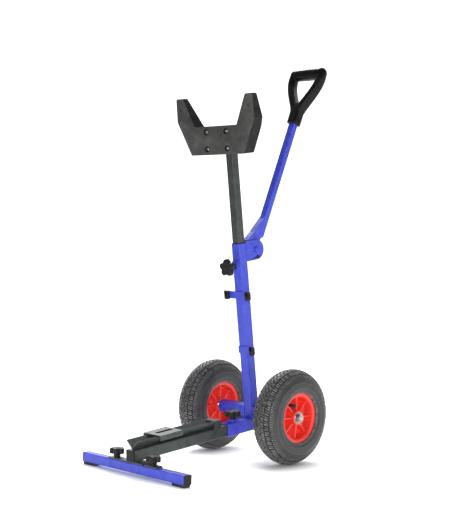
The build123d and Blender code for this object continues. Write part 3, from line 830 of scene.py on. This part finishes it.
# ---- rims, bearings and valves ----
rim = {
    "ribs": 8,
    "ribThick": 4.2,
    "ribTop": 21.5,
    "hubRadius": 20.8,
    "barrelRadius": 56.5,
    "valveTurn": 30,  # degrees forward of straight up
    "valveReach": 40,
}
rimHalf = [
    (26.6, 60.0), (26.6, 67.9), (27.0, 68.7), (27.8, 69.0), (29.5, 69.0), (30.3, 68.7), (30.6, 67.9),
    (30.6, 63.0),
    (30.2, 60.5), (29.4, 58.8), (28.0, 57.7), (25.0, 57.0), (14.0, 56.4), (5.0, 55.8), (2.6, 55.2),
    (1.2, 53.8),
    (0.6, 51.6), (0.5, 40.0), (0.5, 25.0), (0.9, 23.2), (2.2, 22.0), (5.0, 21.3),
    (16.0, 21.0), (27.2, 20.7), (29.0, 20.4), (29.8, 19.6), (30.0, 18.6), (30.0, 17.2), (29.5, 16.4),
    (28.6, 16.1),
]


def buildRim(name, side, body):
    mesh = bmesh.new()
    inner = [(-a - (4 if a < 10 else 0), r) for a, r in reversed(rimHalf)]
    lathe(mesh, rimHalf + inner, 144, alongX(side))
    for k in range(rim["ribs"]):
        turn = 2 * pi * k / rim["ribs"]
        for face, depth in ((1, 0.2), (-1, 3.8)):
            shell = bmesh.new()
            top = face * rim["ribTop"]
            low = face * depth
            outline = [
                (rim["hubRadius"] - 1.2, low), (rim["barrelRadius"] + 0.6, low),
                (rim["barrelRadius"] + 0.6, top - face * 1.5),
                (rim["barrelRadius"] - 5, top - face * 2.2), (rim["hubRadius"] + 4, top),
                (rim["hubRadius"] - 1.2, top + face * 0.6),
            ]
            half = rim["ribThick"] / 2
            prism(shell, outline, -half, half, lambda radius, axial, across: (side * axial, across, radius))
            softenEdges(shell, 0.7, 2)
            shell.transform(Matrix.Rotation(turn, 4, "X"))
            part = bpy.data.meshes.new("rib")
            shell.to_mesh(part)
            shell.free()
            mesh.from_mesh(part)
            bpy.data.meshes.remove(part)
    space = Matrix.Translation(Vector(joints[body + "_spin"]["pos_m"]))
    makePiece(name, mesh, space, body, "red_plastic", [f"rim_{body[6:]}"], sharpAngle=30)


def buildBearings(name, body):
    profile = [
        (20.0, 6.1), (29.7, 6.1), (30.0, 6.5), (30.0, 9.0), (29.7, 9.3), (29.2, 9.5), (29.0, 11.4),
        (29.2, 13.3),
        (29.7, 13.5), (30.0, 13.8), (30.0, 15.6), (29.6, 16.0), (20.3, 16.0), (20.0, 15.7),
    ]
    mesh = bmesh.new()
    for end in (-1, 1):
        lathe(mesh, profile, 72, alongX(end))
    space = Matrix.Translation(Vector(joints[body + "_spin"]["pos_m"]))
    makePiece(name, mesh, space, body, "zinc_steel", [f"bearings_{body[6:]}"])


def buildValveCap(name, side, body):  # ribbed cap on the stem of the inner tube
    mesh = bmesh.new()
    profile = [(0, 0), (0, 3.6), (0.6, 5.0), (8.5, 5.0), (9.2, 4.4), (12.2, 3.4), (13.0, 2.6), (13.0, 0)]
    flutes = 18
    first = mesh.verts.new((0, 0, 0))
    last = mesh.verts.new((side * profile[-1][0], 0, 0))
    rings = []
    steps = flutes * 4
    for axial, radius in profile[1:-1]:
        points = []
        for step in range(steps):
            fluted = radius - (0.35 if step % 4 in (0, 1) and radius > 4.2 else 0)
            angle = 2 * pi * step / steps
            points.append(mesh.verts.new((side * axial, fluted * sin(angle), fluted * cos(angle))))
        rings.append(points)
    for step in range(steps):
        nextStep = (step + 1) % steps
        mesh.faces.new((first, rings[0][step], rings[0][nextStep]))
        mesh.faces.new((last, rings[-1][nextStep], rings[-1][step]))
        for low, high in zip(rings, rings[1:]):
            mesh.faces.new((low[step], high[step], high[nextStep], low[nextStep]))
    turn = leaning(joints[body + "_spin"]["pos_m"], rim["valveTurn"])
    makePiece(name, mesh, shifted(turn, x=side * 22.5, z=rim["valveReach"]), body, "tube_rubber")


for side, body in ((-1, "wheel_left"), (1, "wheel_right")):
    title = body[6:].title()
    buildRim("rim" + title, side, body)
    buildBearings("bearings" + title, body)
    buildValveCap("valveCap" + title, side, body)
print("rims, bearings and valve caps built")


# ---- hub nuts and other fasteners ----
def hexNut(mesh, acrossCorners, bore, thick, toPoint, start=0.0):
    steps = 48
    outer = []
    for step in range(steps):
        angle = 2 * pi * step / steps
        wedge = (angle % (pi / 3)) - pi / 6
        outer.append((acrossCorners * cos(pi / 6) / cos(wedge), angle))
    chamfer = acrossCorners * 0.90
    levels = [(0.0, False), (0.6, True), (thick - 1.3, True), (thick, False)]
    rings = []
    for height, full in levels:
        ring = []
        for radius, angle in outer:
            reach = radius if full else min(radius, chamfer)
            ring.append(mesh.verts.new(toPoint(start + height, reach, angle)))
        rings.append(ring)
    crown = [(thick, bore + 2.2), (thick - 0.2, bore + 0.8), (thick - 1.0, bore), (0.4, bore),
        (0.0, bore + 0.6)]
    for height, radius in crown:
        rings.append([mesh.verts.new(toPoint(start + height, radius, angle)) for _, angle in outer])
    rings.append(rings[0])
    for low, high in zip(rings, rings[1:]):
        for step in range(steps):
            nextStep = (step + 1) % steps
            mesh.faces.new((low[step], low[nextStep], high[nextStep], high[step]))


def socketHead(mesh, radius, height, recess, shank, length,
    toPoint):  # button head, hexagon socket, plain shank
    steps = 48
    profile = [
        (-length, 0), (-length, shank - 0.4), (-length + 0.5, shank), (-0.01, shank), (0, radius - 0.3),
        (0.5, radius), (height * 0.45, radius * 0.95), (height * 0.8, radius * 0.78),
        (height, radius * 0.60),
        (height, recess * 1.02), (height - 0.4, recess * 0.92), (height * 0.35, recess * 0.86),
        (height * 0.2, 0),
    ]
    rings = []
    for axial, reach in profile[1:-1]:
        ring = []
        for step in range(steps):
            angle = 2 * pi * step / steps
            wedge = (angle % (pi / 3)) - pi / 6
            hexed = reach * cos(pi / 6) / cos(wedge) * 1.06 if reach <= recess * 0.93 and axial > 0 else reach
            ring.append(mesh.verts.new(toPoint(axial, hexed, angle)))
        rings.append(ring)
    first = mesh.verts.new(toPoint(profile[0][0], 0, 0))
    last = mesh.verts.new(toPoint(profile[-1][0], 0, 0))
    for step in range(steps):
        nextStep = (step + 1) % steps
        mesh.faces.new((first, rings[0][nextStep], rings[0][step]))
        mesh.faces.new((last, rings[-1][step], rings[-1][nextStep]))
        for low, high in zip(rings, rings[1:]):
            mesh.faces.new((low[step], low[nextStep], high[nextStep], high[step]))


def lookingForward(x, y, z):  # a point on an axis that points forward, out of the local xz plane
    return lambda axial, radius, angle: (x + radius * cos(angle), y - axial, z + radius * sin(angle))


def lookingBack(x, y, z):
    return lambda axial, radius, angle: (x + radius * cos(angle), y + axial, z + radius * sin(angle))


hubNut = {"start": 176.8, "thick": 6, "corners": 10.8, "bore": 6.1}
mesh = bmesh.new()
for side in (-1, 1):
    hexNut(mesh, hubNut["corners"], hubNut["bore"], hubNut["thick"], alongX(side), hubNut["start"])
makePiece("hubNuts", mesh, postSpace, "frame", "zinc_steel", ["axle_nuts"])

pivotNut = {"start": 15, "thick": 9, "corners": 9.7, "bore": 5.1}
mesh = bmesh.new()
hexNut(mesh, pivotNut["corners"], pivotNut["bore"], pivotNut["thick"], alongX(-1), pivotNut["start"])
makePiece("pivotNut", mesh, pivotSpace, "frame", "zinc_steel", ["pivot_nut"])

yokeBolt = {
    "x": 37, "low": 738, "high": 784, "seat": -50.5,
    "radius": 5.5, "height": 4.4, "recess": 2.6, "shank": 3.95, "length": 47,
}
yokeLockNut = {"seat": -12.5, "thick": 6.5, "corners": 7.4, "bore": 4.05}
mesh = bmesh.new()
for x in (-yokeBolt["x"], yokeBolt["x"]):
    for level in (yokeBolt["low"], yokeBolt["high"]):
        socketHead(
            mesh, yokeBolt["radius"], yokeBolt["height"], yokeBolt["recess"],
            yokeBolt["shank"], yokeBolt["length"], lookingForward(x, yokeBolt["seat"], level))
makePiece("yokeBolts", mesh, postSpace, "mast", "zinc_steel", ["yoke_screws"])

mesh = bmesh.new()
for x in (-yokeBolt["x"], yokeBolt["x"]):
    for level in (yokeBolt["low"], yokeBolt["high"]):
        nutPoint = lookingBack(x, yokeLockNut["seat"], level)
        hexNut(mesh, yokeLockNut["corners"], yokeLockNut["bore"], yokeLockNut["thick"], nutPoint)
makePiece("yokeLockNuts", mesh, postSpace, "mast", "zinc_steel", ["yoke_nuts"])
print("fasteners built")


# ---- yoke ----
yoke = {
    "front": -56.5,
    "back": -16.5,
    "bottom": 722,
    "top": 879,
    "floor": 799,
    "slant": 790,  # the back slopes from here to thin arm tips
    "tipThick": 19,
    "corner": 6,
    "counterbore": 7.5,
    "counterDeep": 6,
    "dimple": (127, 848),
}


def buildYoke():
    sideCorners = [(99, yoke["bottom"]), (145, 815), (143, yoke["top"]), (116.5, yoke["top"]),
        (78, yoke["floor"])]
    corners = sideCorners + [(-x, z) for x, z in reversed(sideCorners)]
    outline = roundedOutline(corners, yoke["corner"], 6)
    mesh = bmesh.new()
    prism(mesh, outline, yoke["front"], yoke["back"], lambda x, z, y: (x, y, z))
    bmesh.ops.recalc_face_normals(mesh, faces=mesh.faces[:])
    bmesh.ops.bisect_plane(
        mesh, geom=mesh.verts[:] + mesh.edges[:] + mesh.faces[:], plane_co=(0, 0, yoke["slant"]),
        plane_no=(0, 0, 1))
    fall = (yoke["back"] - yoke["front"] - yoke["tipThick"]) / (yoke["top"] - yoke["slant"])
    for vert in mesh.verts:
        if vert.co.y > yoke["back"] - 1 and vert.co.z > yoke["slant"]:
            vert.co.y -= (vert.co.z - yoke["slant"]) * fall
    softenEdges(mesh, 1.8, 3, 28)
    block = looseObject("yokeBlock", mesh)
    cutters = []
    for x in (-yokeBolt["x"], yokeBolt["x"]):
        for level in (yokeBolt["low"], yokeBolt["high"]):
            cutter = bmesh.new()
            deep = yoke["counterDeep"]
            wide = yoke["counterbore"]
            profile = [(-2, 0), (-2, wide + 0.9), (0, wide + 0.9), (0.8, wide + 0.2), (1.4, wide),
                (deep, wide)]
            profile += [(deep, 4.3), (42, 4.3), (42, 0)]
            solidDisc(cutter, profile, 48, lookingBack(x, yoke["front"], level))
            cutters.append(looseObject("cutter", cutter))
    for side in (-1, 1):
        cutter = bmesh.new()
        acrossX, level = yoke["dimple"]
        point = lookingBack(side * acrossX, yoke["front"], level)
        solidDisc(cutter, [(-2, 0), (-2, 4.5), (0, 3.6), (1.6, 2.6), (2.4, 1.2), (2.6, 0)], 24, point)
        cutters.append(looseObject("cutter", cutter))
    data = cutAway(block, cutters)
    bpy.data.objects.remove(block)
    makePiece("yokeBlock", data, postSpace, "mast", "yoke_rubber", ["yoke"], sharpAngle=30)


buildYoke()
print("yoke built")


# ---- star knobs ----
knobs = {
    "post_knob": {"joint": "post_clamp_turn", "body": "post_clamp", "radius": 24.5, "stem": 19},
    "base_knob": {"joint": "base_clamp_turn", "body": "base_clamp", "radius": 23, "stem": 6},
    "foot_knob_left": {"joint": "foot_clamp_left_turn", "body": "foot_clamp_left", "radius": 20, "stem": 9},
    "foot_knob_right": {"joint": "foot_clamp_right_turn", "body": "foot_clamp_right", "radius": 20,
    "stem": 9},
}


def buildKnob(name, look):
    joint = joints[look["joint"]]
    axis = Vector(joint["axis"])
    across = Vector((1, 0, 0))
    turn = Matrix((across, axis.cross(across), axis)).transposed().to_4x4()
    frameOf = shifted(Matrix.Translation(Vector(joint["pos_m"])) @ turn, z=look["plane"])
    radius = look["radius"]
    stem = look["stem"]
    thick = 15
    steps = 120
    # height, share of the lobed outline, plain radius
    levels = [
        (0.0, 0, 8.2), (0.5, 0, 9.0), (stem * 0.55, 0, 8.6), (stem - 0.6, 0.05, 9.4), (stem, 0.55, 9.5),
        (stem + 0.6, 0.90, 9.5), (stem + 1.8, 0.985, 9.5), (stem + 4.0, 1.0, 9.5),
        (stem + thick - 4.0, 1.0, 9.5),
        (stem + thick - 1.9, 0.965, 9.5), (stem + thick - 0.7, 0.88, 9.5), (stem + thick - 0.1, 0.74, 9.5),
        (stem + thick, 0.56, 8.6), (stem + thick - 0.5, 0.02, 7.8), (stem + thick - 0.5, 0, 6.4),
        (stem + thick + 0.1, 0, 5.9), (stem + thick + 0.5, 0, 4.6), (stem + thick + 0.6, 0, 2.2),
    ]
    mesh = bmesh.new()
    rings = []
    for height, share, plain in levels:
        ring = []
        for step in range(steps):
            angle = 2 * pi * step / steps
            wave = 0.5 + 0.5 * cos(5 * (angle - pi / 2))
            lobed = radius * (0.70 + 0.30 * wave ** 0.62)
            reach = plain + (lobed - plain) * share
            ring.append(mesh.verts.new((reach * cos(angle), reach * sin(angle), height)))
        rings.append(ring)
    top = mesh.verts.new((0, 0, levels[-1][0] + 0.05))
    bottom = mesh.verts.new((0, 0, 0))
    for step in range(steps):
        nextStep = (step + 1) % steps
        mesh.faces.new((bottom, rings[0][nextStep], rings[0][step]))
        mesh.faces.new((top, rings[-1][step], rings[-1][nextStep]))
        for low, high in zip(rings, rings[1:]):
            mesh.faces.new((low[step], low[nextStep], high[nextStep], high[step]))
    makePiece(name.title().replace("_", "") + "Star", mesh, frameOf, look["body"], "black_plastic", [name],
        sharpAngle=55)


for name, look in knobs.items():
    axis = Vector(joints[look["joint"]]["axis"])
    origin = Vector(joints[look["joint"]]["pos_m"])
    node = frame["nodes"][name]
    look["plane"] = 1000 * min((v.co - origin).dot(axis) for v in node.data.vertices)
    buildKnob(name, look)
print("knobs built")


# ---- tool clips ----
clip = {"wide": 15, "tall": 24, "deep": 8, "slot": 7.5, "slotFloor": -1.5, "face": -18, "lip": 1.1}
clipPlaces = {
    "tool_clip_upper_left": (-39, 331),
    "tool_clip_upper_right": (39, 331),
    "tool_clip_lower": (39, 177),
}


def buildClip(name, x, level):
    half = clip["wide"] / 2
    tall = clip["tall"] / 2
    slot = clip["slot"] / 2
    floor = clip["slotFloor"]
    lip = clip["lip"]
    corners = [
        (-half, -tall), (half, -tall), (half, tall), (slot + 0.6, tall), (slot - lip, tall - 2.4),
        (slot, tall - 5),
        (slot, floor), (-slot, floor), (-slot, tall - 5), (-slot + lip, tall - 2.4), (-slot - 0.6, tall),
        (-half, tall),
    ]
    radii = [3, 3, 1.4, 0.9, 0.8, 0.9, 3.2, 3.2, 0.9, 0.8, 0.9, 1.4]
    mesh = bmesh.new()
    prism(mesh, roundedOutline(corners, radii, 4), clip["face"], clip["face"] - clip["deep"], lambda a, b,
        y: (x + a, y, level + b))
    softenEdges(mesh, 0.7, 2, 50)
    head = bmesh.new()
    socketHead(head, 3.2, 1.6, 1.4, 1.5, 2.0,
        lookingForward(x, clip["face"] - clip["deep"] + 0.4, level + floor - 4.6))
    part = bpy.data.meshes.new("clipScrew")
    head.to_mesh(part)
    head.free()
    mesh.from_mesh(part)
    bpy.data.meshes.remove(part)
    makePiece(name.title().replace("_", ""), mesh, postSpace, "frame", "black_plastic", [name],
        sharpAngle=35)


for name, (x, level) in clipPlaces.items():
    buildClip(name, x, level)
print("clips built")


# ---- D-handle ----
handle = {
    "collarStart": 393,
    "gripCentre": 556,
    "gripRadius": 17.3,
    "gripHalf": 63,
    "voxel": 1.3,
}


def superSection(mesh, centre, across, outward, halfWide, halfDeep, power, steps=36):
    ring = []
    for step in range(steps):
        angle = 2 * pi * step / steps
        c = cos(angle)
        s = sin(angle)
        scale = (abs(c) ** power + abs(s) ** power) ** (-1 / power)
        ring.append(mesh.verts.new(centre + across * halfWide * c * scale + outward * halfDeep * s * scale))
    return ring


def loft(mesh, sections):
    for low, high in zip(sections, sections[1:]):
        count = len(low)
        for k in range(count):
            mesh.faces.new((low[k], low[(k + 1) % count], high[(k + 1) % count], high[k]))
    mesh.faces.new(list(reversed(sections[0])))
    mesh.faces.new(sections[-1])


def smoothPath(points, steps):
    result = []
    count = len(points)
    for k in range(count - 1):
        p0 = points[max(k - 1, 0)]
        p1 = points[k]
        p2 = points[k + 1]
        p3 = points[min(k + 2, count - 1)]
        for step in range(steps):
            t = step / steps
            result.append(tuple(
                0.5 * (2 * b + (c - a) * t + (2 * a - 5 * b + 4 * c - d) * t * t + (3 * b - a - 3 * c + d) * t ** 3)
                for a, b, c, d in zip(p0, p1, p2, p3)))
    result.append(tuple(points[-1]))
    return result


def buildHandle():
    start = handle["collarStart"]
    top = handle["gripCentre"]
    mesh = bmesh.new()
    sides = Vector((1, 0, 0))
    backward = Vector((0, 1, 0))
    # collar: height, half width, half depth, squareness
    collar = [(start, 15.5, 16.2, 7), (start + 28, 15.8, 16.3, 6.5), (start + 44, 17.6, 16.0, 5),
        (start + 56, 21.0, 15.4, 4),
              (start + 64, 24.5, 14.6, 3.4)]
    loft(mesh, [superSection(mesh, Vector((0, 0, z)), sides, backward, wide, deep, power) for z, wide,
        deep, power in collar])
    # legs: x, height, half width across the leg, half depth, squareness
    leg = [(8.0, start + 40, 8.6, 15.6, 5), (14.5, start + 58, 10.2, 15.6, 4.5),
        (26.0, start + 78, 10.6, 15.4, 4.2),
           (38.5, start + 101, 10.6, 15.2, 4), (48.0, start + 124, 10.4, 15.2, 3.6),
           (52.0, start + 146, 10.8, 15.6, 2.8),
           (51.0, top + 3, 12.2, 14.6, 2.2)]
    path = smoothPath(leg, 5)
    for side in (-1, 1):
        sections = []
        for k, (x, z, wide, deep, power) in enumerate(path):
            before = path[max(k - 1, 0)]
            after = path[min(k + 1, len(path) - 1)]
            along = Vector((side * (after[0] - before[0]), 0, after[1] - before[1])).normalized()
            across = Vector((along.z, 0, -along.x))
            sections.append(superSection(mesh, Vector((side * x, 0, z)), across, backward, wide, deep,
                power))
        loft(mesh, sections)
    reach = handle["gripHalf"]
    radius = handle["gripRadius"]
    ends = [(-reach, 0), (-reach + 0.3, 4.5), (-reach + 1.6, 9.4), (-reach + 4.4, 13.6),
        (-reach + 8.2, 16.4), (-reach + 12.5, radius)]
    profile = ends + [(-20, radius + 0.5), (0, radius + 0.9), (20, radius + 0.5)] + [(-a, r) for a,
        r in reversed(ends)]
    solidDisc(mesh, profile, 48, lambda axial, r, angle: (axial, r * cos(angle), top + r * sin(angle)))
    shell = looseObject("handleShell", mesh)
    remesh = shell.modifiers.new("oneSkin", "REMESH")
    remesh.mode = "VOXEL"
    remesh.voxel_size = handle["voxel"]
    relax = shell.modifiers.new("blendIn", "SMOOTH")
    relax.factor = 0.5
    relax.iterations = 6
    bpy.context.view_layer.update()
    data = bpy.data.meshes.new_from_object(shell.evaluated_get(bpy.context.evaluated_depsgraph_get()))
    bpy.data.objects.remove(shell)
    makePiece("dHandle", data, armSpace, "handle", "handle_plastic", ["d_handle"], sharpAngle=180,
        evenShade=False)


buildHandle()
mesh = bmesh.new()
for looking, y in ((lookingForward, -13.5), (lookingBack, 13.5)):
    socketHead(mesh, 4.4, 2.6, 2.0, 2.5, 2.4, looking(0, y, handle["collarStart"] + 26))
makePiece("handleScrews", mesh, armSpace, "handle", "zinc_steel", ["handle_screws"])
print("handle built")


# ---- weld beads ----
bead = {"size": 1.7, "step": 1.1, "ripple": 2.6}


def addBead(mesh, points, size, closed=False):
    spine = [Vector(p) for p in points]
    if closed:
        spine.append(spine[0])
    dense = []
    for start, end in zip(spine, spine[1:]):
        length = (end - start).length
        count = max(1, int(length / bead["step"]))
        dense += [start.lerp(end, k / count) for k in range(count)]
    if not closed:
        dense.append(spine[-1])
    rings = []
    travelled = 0.0
    total = len(dense)
    for k, point in enumerate(dense):
        before = dense[k - 1] if closed or k > 0 else dense[k]
        after = dense[(k + 1) % total] if closed or k < total - 1 else dense[k]
        along = (after - before).normalized()
        travelled += (point - dense[k - 1]).length if k else 0
        side = along.orthogonal().normalized()
        if rings:
            side = (lastSide - along * lastSide.dot(along)).normalized()
        lastSide = side
        up = along.cross(side)
        radius = size * (1 + 0.10 * sin(2 * pi * travelled / bead["ripple"]) + 0.06 * sin(travelled * 0.37 + size * 9))
        if not closed:
            radius *= min(1.0, 0.45 + 0.3 * min(k, total - 1 - k))
        rings.append([mesh.verts.new(point + (side * cos(a) + up * sin(a)) * radius) for a in [pi / 4 * j for j in range(8)]])
    pairs = list(zip(rings, rings[1:])) + ([(rings[-1], rings[0])] if closed else [])
    for low, high in pairs:
        for j in range(8):
            mesh.faces.new((low[j], low[(j + 1) % 8], high[(j + 1) % 8], high[j]))
    if not closed:
        mesh.faces.new(list(reversed(rings[0])))
        mesh.faces.new(rings[-1])


def inSpace(space, points):
    return [space @ (Vector(p) / 1000) * 1000 for p in points]


def frameWelds():
    mesh = bmesh.new()
    half = cart["tube"] / 2
    socketTop = -17.5
    turn = radians(cart["postLean"] - cart["baseSlope"])
    foot = []
    for x, y in ((-half, -half), (half, -half), (half, half), (-half, half)):
        foot.append((x, y, (socketTop - y * sin(turn)) / cos(turn) + 0.4))
    addBead(mesh, inSpace(postSpace, foot), 2.0, True)
    for side in (-1, 1):
        ring = [(side * (half + 0.3), a * half, b * half) for a,
            b in ((-1, -0.85), (-0.85, -1), (0.85, -1), (1, -0.85),
                (1, 0.85), (0.85, 1), (-0.85, 1), (-1, 0.85))]
        addBead(mesh, inSpace(postSpace, ring), 1.5, True)
    for level, low, high in ((331, -14, 14), (177, -13, 14)):
        for edge in (-10.2, 10.2):
            addBead(mesh, inSpace(postSpace, [(low, -15.6, level + edge), (high, -15.6, level + edge)]), 1.3)
    for boss, space, y, z in (((10, 14), postSpace, -half, 413), ((10, 13), baseSpace, -77, socketTop)):
        corners = roundedOutline([(-boss[0], -boss[1]), (boss[0], -boss[1]), (boss[0], boss[1]),
            (-boss[0], boss[1])], 4, 3)
        if space is postSpace:
            ring = [(a, y - 0.3, z + b) for a, b in corners]
        else:
            ring = [(a, y + b, z + 0.3) for a, b in corners]
        addBead(mesh, inSpace(space, ring), 1.2, True)
    makePiece("frameWelds", mesh, Matrix.Identity(4), "frame", "blue_paint", sharpAngle=80)


def armWelds():
    mesh = bmesh.new()
    for side in (-1, 1):
        addBead(mesh, inSpace(armSpace, [(side * 9.7, -30.5, 42), (side * 9.7, 1.5, 42)]), 1.2)
        addBead(mesh, inSpace(armSpace, [(side * 9.6, -10.3, 92), (side * 9.6, -10.3, 46)]), 1.0)
    addBead(mesh, inSpace(armSpace, [(-8.5, -10.6, 97), (8.5, -10.6, 97)]), 1.1)
    makePiece("armWelds", mesh, Matrix.Identity(4), "handle", "blue_paint", sharpAngle=80)


def baseWelds():
    mesh = bmesh.new()
    top = -20
    for start, end in ((170, 195), (235, 260), (325, 350), (412, 440)):
        for side in (-1, 1):
            addBead(mesh, inSpace(baseSpace,
                [(side * 2.6, -start, top + 0.8), (side * 2.6, -end, top + 0.8)]), 1.6)
    for side in (-1, 1):
        addBead(mesh, inSpace(baseSpace, [(side * 15, -141, top), (side * 15, -165, top)]), 1.3)
        for end in (298, 378):
            addBead(mesh, inSpace(baseSpace, [(side * 20, -end, 0.9), (side * 31, -end, 0.9)]), 0.9)
        addBead(mesh, inSpace(baseSpace, [(side * 15.2, -426, -50.2), (side * 15.2, -450, -50.0)]), 1.5)
    addBead(mesh, inSpace(baseSpace, [(-14, -141, top + 0.2), (14, -141, top + 0.2)]), 1.4)
    makePiece("baseWelds", mesh, Matrix.Identity(4), "base", "grey_paint", sharpAngle=80)


def mastWelds():
    mesh = bmesh.new()
    for side in (-1, 1):
        addBead(mesh, inSpace(postSpace, [(side * 12.6, -12.8, 728), (side * 12.6, -12.8, 788)]), 1.5)
    addBead(mesh, inSpace(postSpace, [(-11.5, -12.8, 724.5), (11.5, -12.8, 724.5)]), 1.4)
    makePiece("mastWelds", mesh, Matrix.Identity(4), "mast", "grey_paint", sharpAngle=80)


frameWelds()
armWelds()
baseWelds()
mastWelds()
print("weld beads built")
